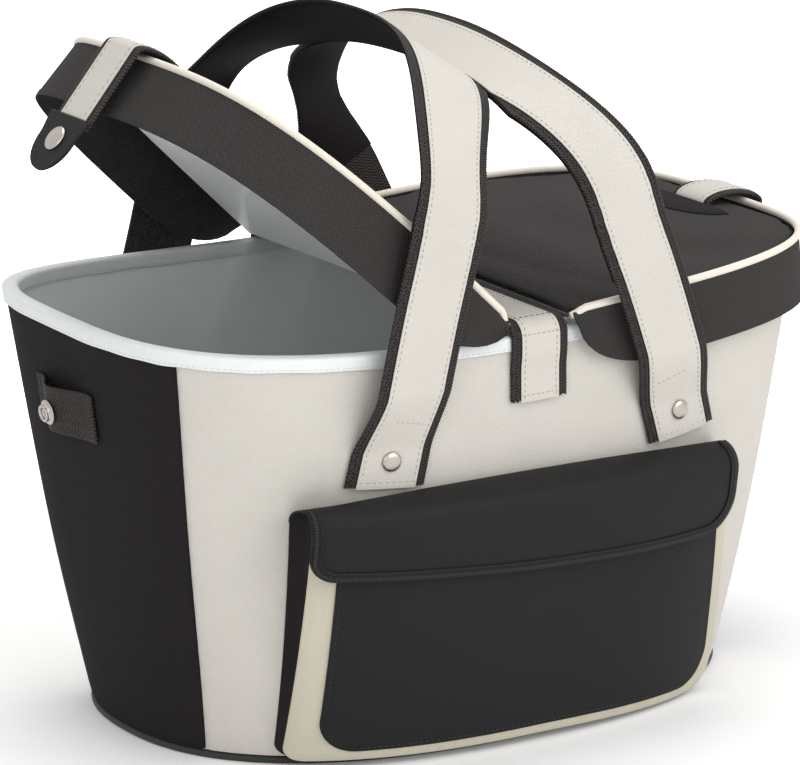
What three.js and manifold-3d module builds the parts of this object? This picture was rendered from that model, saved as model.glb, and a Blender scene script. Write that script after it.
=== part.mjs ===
// Picnic cooler bag: padded tub, two hinged lids with snap tabs, four-legged handle, front pocket
import * as THREE from "three";
import { mergeVertices } from "three/addons/utils/BufferGeometryUtils.js";
import Module from "manifold-3d";

const wasm = await Module();
wasm.setup();

// Driving dimensions in millimetres: X along the bag, Y from front to rear, Z up from the floor
const RIM = { halfLength: 229, halfDepth: 140.8, power: 3.55 };
const FOOT = { halfLength: 192, halfDepth: 135, power: 2.35 };
const BULGE = 2.5; // how far the padded walls swell at half height
const RIM_HEIGHT = 240;
const RIM_RISE = 12; // how much higher the rim stands at the two ends
const SEAM_ANGLE = { foot: 25.5, rim: 31.5 }; // where the end panels meet the long panels, in degrees
const LID = { halfLength: 232.5, halfDepth: 144, power: 3.45, height: 249, rise: 12, dome: 4 };
const LEFT_LID_OPEN = 40; // degrees above closed, as photographed
const HINGE = { z: LID.height - 1.5, radius: 1.2 }; // bound edges that the lids turn on
const SKIRT = { drop: 39, flare: 3, thickness: 1.2 };
const HANDLE = {
  halfWidth: 24, clear: 5.4, sewn: 26, spring: 306, crest: 377, depth: 150.8, power: 2.4, lining: 108,
}; // clear of the flap below, sewn to the tub, lined from that far above its ends
// Each leg's distance from the middle where the arch begins, how it bows below that, how soon it
// closes on the grip above, how much its outer edge turns towards the bag, and a roll about its own
// line around some height
const LEGS = {
  left: {
    front: { spread: 65, bow: 0.85, closing: 2, twist: -0.04, roll: { by: -0.3, at: 343, span: 32 } },
    rear: { spread: 64, bow: 1.3, closing: 2.7, twist: 0.1, roll: { by: 0.45, at: 350, span: 27 } },
  },
  right: {
    front: { spread: 51, bow: 0.8, closing: 2.8, twist: 0.1, roll: { by: -0.15, at: 335, span: 40 } },
    rear: { spread: 36, bow: 1, closing: 6.5, twist: -0.05, roll: { by: -0.6, at: 322, span: 48 } },
  },
};
const GRIP = { centre: 10, foldLeft: 0.75, foldRight: 0.4, rear: 1.25 }; // slopes of the folded-up sides
const STRAP = { halfWidth: 18.7, bottom: 202 }; // the strap between the lids
const RIVET = { x: 97, up: 15 }; // up from the cut end of the handle
const POCKET = { x: -11, halfWidth: 137, bottom: 4.9, top: 146, corner: 22, flare: 0.04, splay: 5 };
const POCKET_DEPTH = { bottom: 11, top: 21 };
const INSET = { x: -10, halfWidth: 126, bottom: 11, top: 143, corner: 20 }; // the black panel on it
const FLAP = {
  halfWidth: 138, ledge: 3.5, height: 160.6, crown: 10, bottom: 110, slant: -5, corner: 13,
};
const LOOP = { y: 5, z: RIM_HEIGHT - 44, up: 2.5, halfHeight: 14.5, halfLength: 36, bow: 14, slack: 8 };
const TAB = {
  root: LID.height + 11, shoulder: LOOP.z + 15.5, cap: LOOP.z, tip: LOOP.z - 20,
  halfWidth: 19, shoulderHalfWidth: 22,
};
const PULL = { start: 206.5, clear: 1.7, rise: 5 }; // clear of the snap stud
const PATCH = { halfLength: 42, depth: 24 }; // half moon up to the pull strap's foot
const STUD = { height: 3.8, hole: 4.8 };
const HANDLE_BOTTOM = FLAP.height + HANDLE.clear;
const HANDLE_LEAVE = HANDLE_BOTTOM + HANDLE.sewn;
const RIVET_Z = HANDLE_BOTTOM + RIVET.up;

// Thicknesses and clearances
const GAP = 0.3; // between pieces that touch
const INNER_GAP = 0.5; // between the tub's layers
const FABRIC = 1.2;
const FOAM = 3;
const LINER = 0.8;
const WEBBING = 2;
const OVERLAY = 0.8;
const OVERLAY_INSET = 6; // black webbing left showing beside a cream overlay
const BASE_PIPING = 2.1;
const LID_PIPING = 2.4;
const LID_BOARD = 6;
const BOARD_INSET = 12.5; // the lid's board inside the lid's edge
const HINGE_X = STRAP.halfWidth + GAP + HINGE.radius;

// Colours read off the photograph
const CREAM = [0xd9d0c4, 0.85, 0];
const POCKET_CREAM = [0xd6cbb2, 0.8, 0];
const PIPING_CREAM = [0xe4ded2, 0.7, 0];
const BLACK = [0x2d2b2c, 0.85, 0];
const LID_BLACK = [0x38363a, 0.8, 0];
const POCKET_BLACK = [0x2b2a2b, 0.6, 0];
const WEB_BLACK = [0x242220, 0.9, 0];
const LINING_BLACK = [0x1f1b19, 0.7, 0];
const WHITE = [0xe6ebee, 0.5, 0];
const FOAM_GREY = [0xc8ccd0, 0.95, 0];
const BOARD = [0x8d8f92, 0.7, 0];
const NICKEL = [0xb9b4ab, 0.3, 1];

const mix = THREE.MathUtils.lerp;
const { degToRad, clamp, smoothstep } = THREE.MathUtils;
const vec = (x, y, z) => new THREE.Vector3(x, y, z);
const steps = (count, from = 0, to = 1) =>
  Array.from({ length: count + 1 }, (_, i) => mix(from, to, i / count));

// Body from loose triangles: corners welded, empty triangles dropped, faces turned outwards
function solid(points, triangles) {
  const loose = new THREE.BufferGeometry();
  const numbers = points.flatMap((p) => [p.x, p.y, p.z]);
  loose.setAttribute("position", new THREE.Float32BufferAttribute(numbers, 3));
  loose.setIndex(triangles);
  const welded = mergeVertices(loose, 1e-3);
  return facingOut(welded);
}

function facingOut(geometry) {
  const position = geometry.getAttribute("position");
  const corner = (i) => vec().fromBufferAttribute(position, i);
  const kept = [];
  let volume = 0;
  const index = geometry.getIndex().array;
  for (let i = 0; i < index.length; i += 3) {
    const [a, b, c] = index.slice(i, i + 3);
    if (a === b || b === c || c === a) continue;
    kept.push([a, b, c]);
    volume += corner(a).dot(corner(b).cross(corner(c)));
  }
  geometry.setIndex(kept.flatMap(([a, b, c]) => (volume < 0 ? [a, c, b] : [a, b, c])));
  return geometry;
}

// Triangles that close a ring of points by stepping across it from both sides
function capTriangles(first, count, flip) {
  const out = [];
  for (let i = 0; i < count / 2 - 1; i++) {
    const [a, b, c, d] = [i, i + 1, count - 2 - i, count - 1 - i].map((j) => first + j);
    out.push(...(flip ? [a, c, b, a, d, c] : [a, b, c, a, c, d]));
  }
  return out;
}

// Body through a row of rings with equal counts, capped at both ends or joined into a loop.
// The two halves of a ring are split along mirrored diagonals, so both faces of a sheet match
function loft(rings, loop = false) {
  const count = rings[0].length;
  const at = (i, j) => (i % rings.length) * count + (j % count);
  const triangles = [];
  const spans = loop ? rings.length : rings.length - 1;
  for (let i = 0; i < spans; i++) {
    for (let j = 0; j < count; j++) {
      const [a, b, c, d] = [at(i, j), at(i + 1, j), at(i + 1, j + 1), at(i, j + 1)];
      triangles.push(...(j < count / 2 ? [a, b, c, a, c, d] : [a, b, d, b, c, d]));
    }
  }
  if (!loop) {
    triangles.push(...capTriangles(0, count, false));
    triangles.push(...capTriangles((rings.length - 1) * count, count, true));
  }
  return solid(rings.flat(), triangles);
}

// Sheet of material: surface(u, v, lift) between two lifts, v may depend on u
function sheet(surface, us, vs, low, high, loop = false) {
  const across = (u) => (typeof vs === "function" ? vs(u) : vs);
  const row = (u, lift) => across(u).map((v) => surface(u, v, lift));
  return loft(us.map((u) => [...row(u, high), ...row(u, low).reverse()]), loop);
}

// Round cord along a path, its section spanned by an outward direction and Z
function cord(path, radius, sides, loop = false) {
  const ring = ({ at, out }) =>
    steps(sides - 1, 0, 2 * Math.PI * (1 - 1 / sides)).map((a) =>
      at.clone().addScaledVector(out, radius * Math.cos(a)).add(vec(0, 0, radius * Math.sin(a))));
  return loft(path.map(ring), loop);
}

// Turned body: [radius, height] pairs closed on the axis, stood at a place along a direction
function turned(profile, segments, place, direction) {
  const outline = profile.map(([r, h]) => new THREE.Vector2(r, h));
  const lathe = new THREE.LatheGeometry(outline, segments);
  lathe.deleteAttribute("normal");
  lathe.deleteAttribute("uv");
  const turn = new THREE.Quaternion().setFromUnitVectors(vec(0, 1, 0), direction.clone().normalize());
  lathe.applyQuaternion(turn).translate(place.x, place.y, place.z);
  return facingOut(mergeVertices(lathe, 1e-3));
}

// Joining and cutting go through manifold bodies
function toManifold(geometry) {
  const triVerts = new Uint32Array(geometry.getIndex().array);
  const vertProperties = new Float32Array(geometry.getAttribute("position").array);
  return new wasm.Manifold(new wasm.Mesh({ numProp: 3, vertProperties, triVerts }));
}

function fromManifold(body) {
  const mesh = body.getMesh();
  const geometry = new THREE.BufferGeometry();
  geometry.setAttribute("position", new THREE.BufferAttribute(mesh.vertProperties, 3));
  geometry.setIndex([...mesh.triVerts]);
  return geometry;
}

const join = (a, b) => fromManifold(toManifold(a).add(toManifold(b)));
const cut = (a, tools) =>
  fromManifold(tools.reduce((body, tool) => body.subtract(toManifold(tool)), toManifold(a)));

function drill(place, direction, radius, from, to) {
  return turned([[0, from], [radius, from], [radius, to], [0, to]], 16, place, direction);
}

// Copy of a geometry moved by a matrix, with its faces still outwards if the matrix mirrors
function moved(geometry, matrix) {
  return facingOut(geometry.clone().applyMatrix4(matrix));
}

// Length of a fine curve of [a, b, ...] places, and the place at any distance along it
function measured(fine) {
  const distance = [0];
  for (let i = 1; i < fine.length; i++) {
    const run = Math.hypot(fine[i][0] - fine[i - 1][0], fine[i][1] - fine[i - 1][1]);
    distance.push(distance[i - 1] + run);
  }
  const at = (want) => {
    let i = 1;
    while (i < fine.length - 1 && distance[i] < want) i++;
    const share = (want - distance[i - 1]) / (distance[i] - distance[i - 1]);
    return fine[i].map((value, k) => mix(fine[i - 1][k], value, share));
  };
  return { length: distance[fine.length - 1], at };
}

// Point of a superellipse at an angle
function superellipse(halfLength, halfDepth, power, angle) {
  const [c, s] = [Math.cos(angle), Math.sin(angle)];
  const shape = (value) => Math.sign(value) * Math.abs(value) ** (2 / power);
  return [halfLength * shape(c), halfDepth * shape(s)];
}

// The tub's outline at a share of its height
function outline(share, inset = 0) {
  const swell = BULGE * Math.sin(Math.PI * clamp(share, 0, 1)) - inset;
  return {
    halfLength: mix(FOOT.halfLength, RIM.halfLength, share) + swell,
    halfDepth: mix(FOOT.halfDepth, RIM.halfDepth, share) + swell,
    power: mix(FOOT.power, RIM.power, share),
  };
}

const RISE_SHARE = RIM_RISE / RIM_HEIGHT;
const tubZ = (share, reach) => RIM_HEIGHT * share * (1 + RISE_SHARE * reach * reach);
const shareOf = (height) => height / RIM_HEIGHT;

// Point on the tub wall, lift outwards from the fabric's outer face
function tub(angle, share, lift) {
  const { halfLength, halfDepth, power } = outline(share, -lift);
  const [x, y] = superellipse(halfLength, halfDepth, power, angle);
  return vec(x, y, tubZ(share, x / halfLength));
}

// Half depth of the tub at a place on its long side, and half length at its ends
function wallY(x, z) {
  let share = shareOf(z);
  for (let i = 0; i < 3; i++) share = z / tubZ(1, x / outline(share).halfLength);
  const { halfLength, halfDepth, power } = outline(share);
  return halfDepth * (1 - Math.min(1, Math.abs(x) / halfLength) ** power) ** (1 / power);
}

function wallX(y, z) {
  const { halfLength, halfDepth, power } = outline(z / tubZ(1, 1));
  return halfLength * (1 - Math.min(1, Math.abs(y) / halfDepth) ** power) ** (1 / power);
}

// Layers of the tub wall, counted inwards from the fabric's outer face
const FOAM_FACE = FABRIC + INNER_GAP;
const LINER_FACE = FOAM_FACE + FOAM + INNER_GAP;
const WALL = LINER_FACE + LINER;
const PANEL_FOOT = shareOf(2 * BASE_PIPING + 0.5);
const BINDING = { thickness: 0.8, height: 8 };
const PANEL_TOP = 1 - shareOf(BINDING.thickness + 2 * GAP);

// Long panels and end panels, each between two seams that lean inwards towards the foot
function wallPanel(middle, halfSpan, count) {
  const surface = (u, share, lift) =>
    tub(degToRad(middle + u * (halfSpan(share) - 0.1)), share, lift);
  return sheet(surface, steps(count, -1, 1), steps(5, PANEL_FOOT, PANEL_TOP), -FABRIC, 0);
}

const AROUND = steps(47, 0, (47 / 48) * 2 * Math.PI);

const seamAngle = (share) => mix(SEAM_ANGLE.foot, SEAM_ANGLE.rim, share);
const longPanel = (middle) => wallPanel(middle, (share) => 90 - seamAngle(share), 22);
const endPanel = (middle) => wallPanel(middle, seamAngle, 12);

// Cup-shaped layer: up its outer face and down its inner one
function cup(face, thickness, floor, floorThickness, top) {
  const ring = (share, lift) => AROUND.map((a) => tub(a, share, lift));
  const outside = steps(3, shareOf(floor), top).map((s) => ring(s, -face));
  const inside = steps(3, top, shareOf(floor + floorThickness));
  const level = (points, z) => points.map((p) => vec(p.x, p.y, z));
  const rings = [...outside, ...inside.map((s) => ring(s, -face - thickness))];
  rings[0] = level(rings[0], floor);
  rings[rings.length - 1] = level(rings[rings.length - 1], floor + floorThickness);
  return loft(rings);
}

// Flat layer of the base between two heights
function basePlate(inset, low, high) {
  const ring = (z) => AROUND.map((a) => tub(a, 0, -inset)).map((p) => vec(p.x, p.y, z));
  return loft([ring(low), ring(high)]);
}

function basePiping() {
  const path = AROUND.map((a) => {
    const at = tub(a, 0, -1);
    const out = tub(a, 0, 0).sub(at).setZ(0).normalize();
    return { at: at.setZ(BASE_PIPING), out };
  });
  return cord(path, BASE_PIPING, 6, true);
}

// White binding folded over the rim, U-shaped in section
function rimBinding() {
  const [lip, foot] = [BINDING.thickness + GAP, BINDING.height].map((z) => 1 - shareOf(z));
  const outer = INNER_GAP + BINDING.thickness;
  const inner = -WALL - INNER_GAP - BINDING.thickness;
  const section = [
    [foot, outer], [1, outer], [1, inner], [foot, inner],
    [foot, -WALL - INNER_GAP], [lip, -WALL - INNER_GAP], [lip, INNER_GAP], [foot, INNER_GAP],
  ];
  const rings = AROUND.map((a) => section.map(([share, lift]) => tub(a, share, lift)));
  return loft(rings, true);
}

// Places along the lid's curved edge, evenly spaced, from the front hinge end to the rear one
function lidEdge(inset, start) {
  const at = (a) => superellipse(LID.halfLength - inset, LID.halfDepth - inset, LID.power, a);
  const end = Math.acos((start / (LID.halfLength - inset)) ** (LID.power / 2));
  const edge = measured(steps(400, -end, end).map(at));
  return (u) => edge.at(u * edge.length);
}

const LID_START = HINGE_X + HINGE.radius + GAP;
const LID_STATIONS = steps(28);

// Height of a closed lid's top
function lidTop(x, y) {
  const [reach, side] = [x / LID.halfLength, y / LID.halfDepth];
  const swell = 4 * reach * (1 - reach) * Math.max(0, 1 - side * side);
  return LID.height + LID.rise * reach * (1.6 - 0.6 * reach) + LID.dome * swell;
}

// D-shaped layer of the lid between two depths below its top
function lidLayer(inset, start, low, high) {
  const edge = lidEdge(inset, start);
  const surface = (u, v, lift) => {
    const [x, y] = edge(u);
    const across = mix(start, x, v);
    return vec(across, y, lidTop(across, y) + lift);
  };
  return sheet(surface, LID_STATIONS, steps(3), low, high);
}

function outwardOf(edge, u) {
  const [before, after] = [edge(Math.max(0, u - 0.01)), edge(Math.min(1, u + 0.01))];
  return vec(after[1] - before[1], before[0] - after[0], 0).normalize();
}

function lidPiping() {
  const edge = lidEdge(0, LID_START);
  const path = LID_STATIONS.map((u) => {
    const [x, y] = edge(u);
    return { at: vec(x, y, lidTop(x, y)), out: outwardOf(edge, u) };
  });
  return cord(path, LID_PIPING, 8);
}

// Bound straight edge beside the strap, round so that the lid turns on it
function lidBinding() {
  const end = lidEdge(LID_PIPING + 2 * GAP, LID_START)(1)[1];
  const path = [-end, end].map((y) => ({ at: vec(HINGE_X, y, HINGE.z), out: vec(1, 0, 0) }));
  return cord(path, HINGE.radius, 8);
}

// Skirt hanging from the lid's edge, its two hinge ends rounded off and standing out a little
function lidSkirt() {
  const edge = lidEdge(0, LID_START + 0.3);
  const surface = (u, v, lift) => {
    const [x, y] = edge(u);
    const run = clamp((x - LID_START) / (1.5 * SKIRT.drop), 0, 1);
    const drop = (SKIRT.drop - LID_PIPING) * Math.max(0.12, Math.sqrt(1 - (1 - run) ** 2));
    const flare = SKIRT.flare * v + 2.5 * v * Math.max(0, 1 - (x - LID_START) / 28);
    const out = outwardOf(edge, u).multiplyScalar(lift + flare);
    return vec(x, y, lidTop(x, y) - LID_PIPING - GAP - drop * v).add(out);
  };
  const half = SKIRT.thickness / 2;
  return sheet(surface, LID_STATIONS, steps(2), -half, half);
}

// Half-moon patch behind the foot of the pull strap
function lidPatch() {
  const { halfLength, depth } = PATCH;
  const chord = PULL.start - OVERLAY_FACE - OVERLAY - 2 * GAP;
  const surface = (u, v, lift) => {
    const y = halfLength * u;
    const x = chord - depth * Math.sqrt(Math.max(0, 1 - u * u)) * v;
    return vec(x, y, lidTop(x, y) + GAP + lift);
  };
  return sheet(surface, steps(12, -1, 1), steps(2), 0, FABRIC);
}

// Place of a snap stud's foot on its end loop, and the pull strap's inner face in front of it.
// The left loop hangs slack, as photographed, and a shut lid's tab keeps the right one drawn out
const bowOf = (side) => (side < 0 ? LOOP.slack : LOOP.bow);
const studFoot = (side) => wallX(LOOP.y, LOOP.z) + bowOf(side) + WEBBING + 3.5 * GAP;
const PULL_FACE = Math.max(
  studFoot(1) + STUD.height + PULL.clear - WEBBING - GAP, LID.halfLength + SKIRT.flare + 6);

// Pull strap: over the lid's end in a low arch, clear of the piping
function pullStrap(halfWidth, low, high) {
  const centre = (PULL.start + PULL_FACE) / 2;
  const surface = (u, v, lift) => {
    const a = Math.PI * (1 - u);
    const reach = (PULL_FACE - PULL.start) / 2 + lift;
    const x = centre + reach * Math.cos(a);
    const foot = mix(lidTop(PULL.start, 0) + 1.5 * GAP, TAB.root + GAP, u);
    return vec(x, v * halfWidth, foot + (PULL.rise + lift) * Math.sin(a));
  };
  return sheet(surface, steps(10), [-1, 1], low, high);
}

// Hanging part of the pull strap
function tabStrap(halfWidth, low, high, bottom) {
  const surface = (u, v, lift) =>
    vec(PULL_FACE + lift, v * halfWidth, mix(TAB.root - GAP, bottom, u));
  return sheet(surface, [0, 1], [-1, 1], low, high);
}

// Spade-shaped tab end with a hole behind the snap cap
function tabEnd() {
  const low = WEBBING + GAP;
  const widthAt = (z) => {
    const round = clamp((z - TAB.tip) / TAB.halfWidth, 0, 1);
    const body = mix(TAB.halfWidth, TAB.shoulderHalfWidth, smoothstep(z, TAB.cap, TAB.shoulder));
    return body * Math.sqrt(1 - (1 - round) ** 2);
  };
  const surface = (u, v, lift) => {
    const z = mix(TAB.tip, TAB.shoulder, 1 - (1 - u) ** 1.6);
    return vec(PULL_FACE + lift, v * widthAt(z), z);
  };
  const plate = sheet(surface, steps(10), [-1, 1], low, low + WEBBING);
  return cut(plate, [drill(vec(PULL_FACE, 0, TAB.cap), vec(1, 0, 0), STUD.hole, 0, 8)]);
}

function snapCap() {
  const profile = [[0, 1.1], [4.6, 0.8], [4.9, 0], [7.5, 0], [7.5, 0.5], [6.3, 1.5], [3.6, 2.2], [0, 2.4]];
  const face = PULL_FACE + 2 * WEBBING + 2 * GAP;
  return turned(profile, 20, vec(face, 0, TAB.cap), vec(1, 0, 0));
}

// Ring-topped stud on an end loop
function snapStud(side) {
  const profile = [
    [0, 0], [6.5, 0], [6.5, 0.7], [4, 1.1], [3.1, 2.3], [3.9, 3.2],
    [3.5, STUD.height], [2.3, STUD.height], [2.1, 2.9], [0, 2.9],
  ];
  const lean = (wallX(LOOP.y, LOOP.z + 5) - wallX(LOOP.y, LOOP.z - 5)) / 10;
  return turned(profile, 12, vec(side * studFoot(side), LOOP.y, LOOP.z), vec(side, 0, -lean));
}

// Webbing loop sewn flat at both ends and bowed out between them
function endLoop(side) {
  const surface = (u, v, lift) => {
    const y = u * LOOP.halfLength;
    const free = clamp(Math.abs(y) / (LOOP.halfLength - 8), 0, 1);
    const z = LOOP.z + LOOP.up + v * LOOP.halfHeight;
    const bow = bowOf(side) * Math.cos((Math.PI / 2) * free) ** 2;
    return vec(side * (wallX(LOOP.y + y, z) + 1.5 * GAP + bow + lift), LOOP.y + y, z);
  };
  return sheet(surface, steps(16, -1, 1), steps(2, -1, 1), 0, WEBBING);
}

// Handle profile in the YZ plane: up the front, over an arch and down the rear.
// A place on it is q, the distance in mm from the arch's front end towards the rear
const ARCH_RISE = HANDLE.crest - HANDLE.spring;
const arch = measured(steps(180, 0, Math.PI).map((turn) => {
  const [y, rise] = superellipse(HANDLE.depth, ARCH_RISE, HANDLE.power, Math.PI - turn);
  return [y, Math.max(0, rise), turn];
}));
const HANDLE_END = HANDLE.spring - HANDLE_BOTTOM;
const BLEND = 12; // step of the places that the handle's centre line is smoothed over

function handleProfile(q) {
  const [y, rise, turn] = arch.at(clamp(q, 0, arch.length));
  return { y, rise, turn, below: Math.max(0, -q, q - arch.length), rear: q > arch.length / 2 };
}

const legOf = (strap, rear) => LEGS[strap < 0 ? "left" : "right"][rear ? "rear" : "front"];

// Distance of a strap's centre line from the middle of the bag, leg and arch each by its own rule
function bareCentre(strap, q) {
  const { turn, below, rear } = handleProfile(q);
  const { spread, bow, closing } = legOf(strap, rear);
  const lower = (RIVET.x - spread) * (below / (HANDLE.spring - RIVET_Z)) ** bow;
  return GRIP.centre + (spread - GRIP.centre) * Math.abs(Math.cos(turn)) ** closing + lower;
}

// The same line made smooth where the leg runs into the arch
function handleCentre(strap, q) {
  const shares = [1, 2, 3, 2, 1];
  const total = shares.reduce((sum, share) => sum + share);
  const at = (i) => bareCentre(strap, q + BLEND * (i - 2));
  return shares.reduce((sum, share, i) => sum + share * at(i), 0) / total;
}

// Slope of a leg's roll at a height: none outside its span
function rollAt({ roll }, z) {
  return roll.by * Math.cos((Math.PI / 2) * clamp((z - roll.at) / roll.span, -1, 1)) ** 2;
}

// Point on the handle: sewn to the tub low down, standing off it above
function handleSurface(strap, centre, reach, q, lift) {
  const { y, rise, turn, below, rear } = handleProfile(q);
  const side = rear ? 1 : -1;
  const z = HANDLE.spring + rise - below;
  const roll = rollAt(legOf(strap, rear), z);
  const across = reach / Math.hypot(1, roll);
  const x = centre + across;
  const sewn = side * (wallY(x, Math.min(z, RIM_HEIGHT)) + INNER_GAP);
  const twist = side * (legOf(strap, rear).twist * Math.cos(turn) ** 2 + roll) * across;
  const free = smoothstep(z, HANDLE_LEAVE, HANDLE_LEAVE + 30);
  const slope = (strap < 0 ? GRIP.foldLeft : GRIP.foldRight) * mix(1, GRIP.rear, turn / Math.PI);
  const fold = slope * x * Math.sin(turn) ** 4;
  const bend = HANDLE.power - 1;
  const out = vec(0, side * (Math.abs(y) / HANDLE.depth) ** bend / HANDLE.depth,
    (rise / ARCH_RISE) ** bend / ARCH_RISE).normalize();
  return vec(strap * x, mix(sewn, y - twist, free), z + fold).addScaledVector(out, lift);
}

// Point across one strap: w is 1 at its outer edge and -1 at its inner edge, trimmed at the middle.
// The lines across are square to the strap, but less so at its two cut ends
function handlePoint(strap, q, w, lift, middle) {
  const slope = (handleCentre(strap, q + 1) - handleCentre(strap, q - 1)) / 2;
  const { below } = handleProfile(q);
  const square = mix(1, 0.4, smoothstep(below, HANDLE_END - 40, HANDLE_END));
  const reach = (HANDLE.halfWidth * Math.hypot(1, slope)) / (1 + square * slope * slope);
  const centre = handleCentre(strap, q);
  const across = Math.max(w * reach, middle - centre);
  return handleSurface(strap, centre, across, q - square * slope * across, lift);
}

// One layer of one strap, between two distances in from its cut ends
const HANDLE_STATIONS = [0, 3, 16, 29, 41, 60, 84, HANDLE.lining, HANDLE_END];

function handleLayer(strap, ws, middle, low, high, from) {
  const surface = (q, w, lift) => handlePoint(strap, q, w, lift, middle);
  const leg = HANDLE_STATIONS.map((d) => d - HANDLE_END);
  const over = steps(18, 0, arch.length).slice(1, -1);
  const all = [...leg, ...over, ...leg.map((q) => arch.length - q).reverse()];
  const inside = all.filter((q) => q >= from - HANDLE_END && q <= arch.length + HANDLE_END - from);
  return sheet(surface, inside, ws, low, high);
}

const OVERLAY_FACE = WEBBING + GAP;
const OVERLAY_EDGE = 1 - OVERLAY_INSET / HANDLE.halfWidth;
const OVERLAY_LINES = [-OVERLAY_EDGE, 0, OVERLAY_EDGE];
const WEBBING_LINES = [-1, ...OVERLAY_LINES, 1];

const handleWebbing = (strap) => handleLayer(strap, WEBBING_LINES, 0.2, 0, WEBBING, 0);

function handleOverlay() {
  const [low, high] = [OVERLAY_FACE, OVERLAY_FACE + OVERLAY];
  const [left, right] = [-1, 1].map((strap) => handleLayer(strap, OVERLAY_LINES, 0, low, high, 3));
  return join(left, right);
}

function handleLining() {
  const [low, high] = [-GAP - FABRIC, -GAP];
  const from = HANDLE.lining;
  const [left, right] = [-1, 1].map((strap) => handleLayer(strap, WEBBING_LINES, 0, low, high, from));
  return join(left, right);
}

// Where each handle rivet stands, and the way it faces
function rivetPlace(strap, side) {
  const [x, z] = [strap * RIVET.x, RIVET_Z];
  const slopeX = (wallY(x + 1, z) - wallY(x - 1, z)) / 2;
  const slopeZ = (wallY(x, z + 1) - wallY(x, z - 1)) / 2;
  const out = vec(-side * slopeX, 1, -side * slopeZ).multiply(vec(side, side, side));
  return { place: vec(x, side * wallY(x, z), z), out: out.normalize() };
}

const HEAD_FACE = INNER_GAP + OVERLAY_FACE + OVERLAY + 2 * GAP;

function rivet({ place, out }) {
  const [back, under] = [-FABRIC - GAP, HEAD_FACE];
  const profile = [
    [0, back - 0.8], [5, back - 0.8], [5, back], [2.2, back], [2.2, under], [5.6, under],
    [5.6, under + 0.5], [4.4, under + 1.4], [2.4, under + 1.9], [0, under + 2.1],
  ];
  return turned(profile, 14, place, out);
}

const rivetHole = ({ place, out }) => drill(place, out, 2.6, -FABRIC - 2, 8);
const washerHollow = ({ place, out }) => drill(place, out, 5.8, -FABRIC - 2, -FABRIC);

// Strap between the lids: up the front, over the opening and down the rear
function centreStrap(halfWidth, low, high, from) {
  const bend = 7;
  const face = RIM.halfDepth + BINDING.thickness + INNER_GAP + GAP;
  const top = LID.height - 3;
  const climb = top - bend - STRAP.bottom;
  const run = face - bend;
  const place = (u) => {
    const side = u < 0.5 ? -1 : 1;
    const t = 1 - Math.abs(2 * u - 1);
    if (t < 0.4) return { side, z: STRAP.bottom + climb * (t / 0.4), turn: 0 };
    if (t < 0.6) return { side, turn: (Math.PI / 2) * ((t - 0.4) / 0.2) };
    return { side, turn: Math.PI / 2, y: run * ((1 - t) / 0.4) };
  };
  const surface = (u, v, lift) => {
    const { side, z, turn, y } = place(u);
    const x = v * halfWidth;
    if (z !== undefined) {
      const sewn = wallY(x, z) + GAP;
      const free = smoothstep(z, STRAP.bottom + 18, RIM_HEIGHT - BINDING.height - 1);
      return vec(x, side * (mix(sewn, face, free) + lift), z);
    }
    if (y !== undefined) return vec(x, side * y, top + lift);
    const reach = bend + lift;
    return vec(x, side * (face - bend + reach * Math.cos(turn)), top - bend + reach * Math.sin(turn));
  };
  const stations = [...new Set([...steps(8, 0, 0.4), ...steps(5, 0.4, 0.6), 0.8, 1])];
  const us = stations.map((t) => Math.max(t, from) / 2);
  const all = [...us, ...us.slice(0, -1).map((u) => 1 - u).reverse()];
  return sheet(surface, all, steps(2, -1, 1), low, high);
}

// Pocket surface: the front panel's shape pushed out by the pocket's depth
function pocketDepth(z) {
  return mix(POCKET_DEPTH.bottom, POCKET_DEPTH.top, clamp(z / POCKET.top, 0, 1));
}

// The pocket is a little wider towards its bottom
const flared = (x, z) =>
  POCKET.x + (x - POCKET.x) * (1 + POCKET.flare * (1 - Math.min(1, z / POCKET.top)));

function pocketPoint(x, z, lift) {
  const at = flared(x, z);
  return vec(at, -(wallY(at, z) + pocketDepth(z) + lift), z);
}

// Lower edge of a panel whose two bottom corners are rounded
function roundedBottom({ x, halfWidth, bottom, corner }, at) {
  const fromSide = halfWidth - Math.abs(at - x);
  const dip = Math.max(0, corner - fromSide);
  return bottom + corner - Math.sqrt(Math.max(0, corner * corner - dip * dip));
}

// Stations across a panel, closer together where its corners are rounded
function panelStations({ x, halfWidth, corner }, count) {
  const inCorner = steps(5).map((t) => corner * (1 - Math.cos((t * Math.PI) / 2)));
  const left = inCorner.map((d) => x - halfWidth + d);
  const middle = steps(count, x - halfWidth + corner, x + halfWidth - corner).slice(1, -1);
  return [...left, ...middle, ...left.map((v) => 2 * x - v).reverse()];
}

function pocketPanel(panel, low, high) {
  const surface = (x, v, lift) => pocketPoint(x, mix(roundedBottom(panel, x), panel.top, v), lift);
  return sheet(surface, panelStations(panel, 16), steps(3), low, high);
}

const GUSSET_RAISE = 8; // how much higher its top reaches at the tub than at the pocket's front

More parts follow.
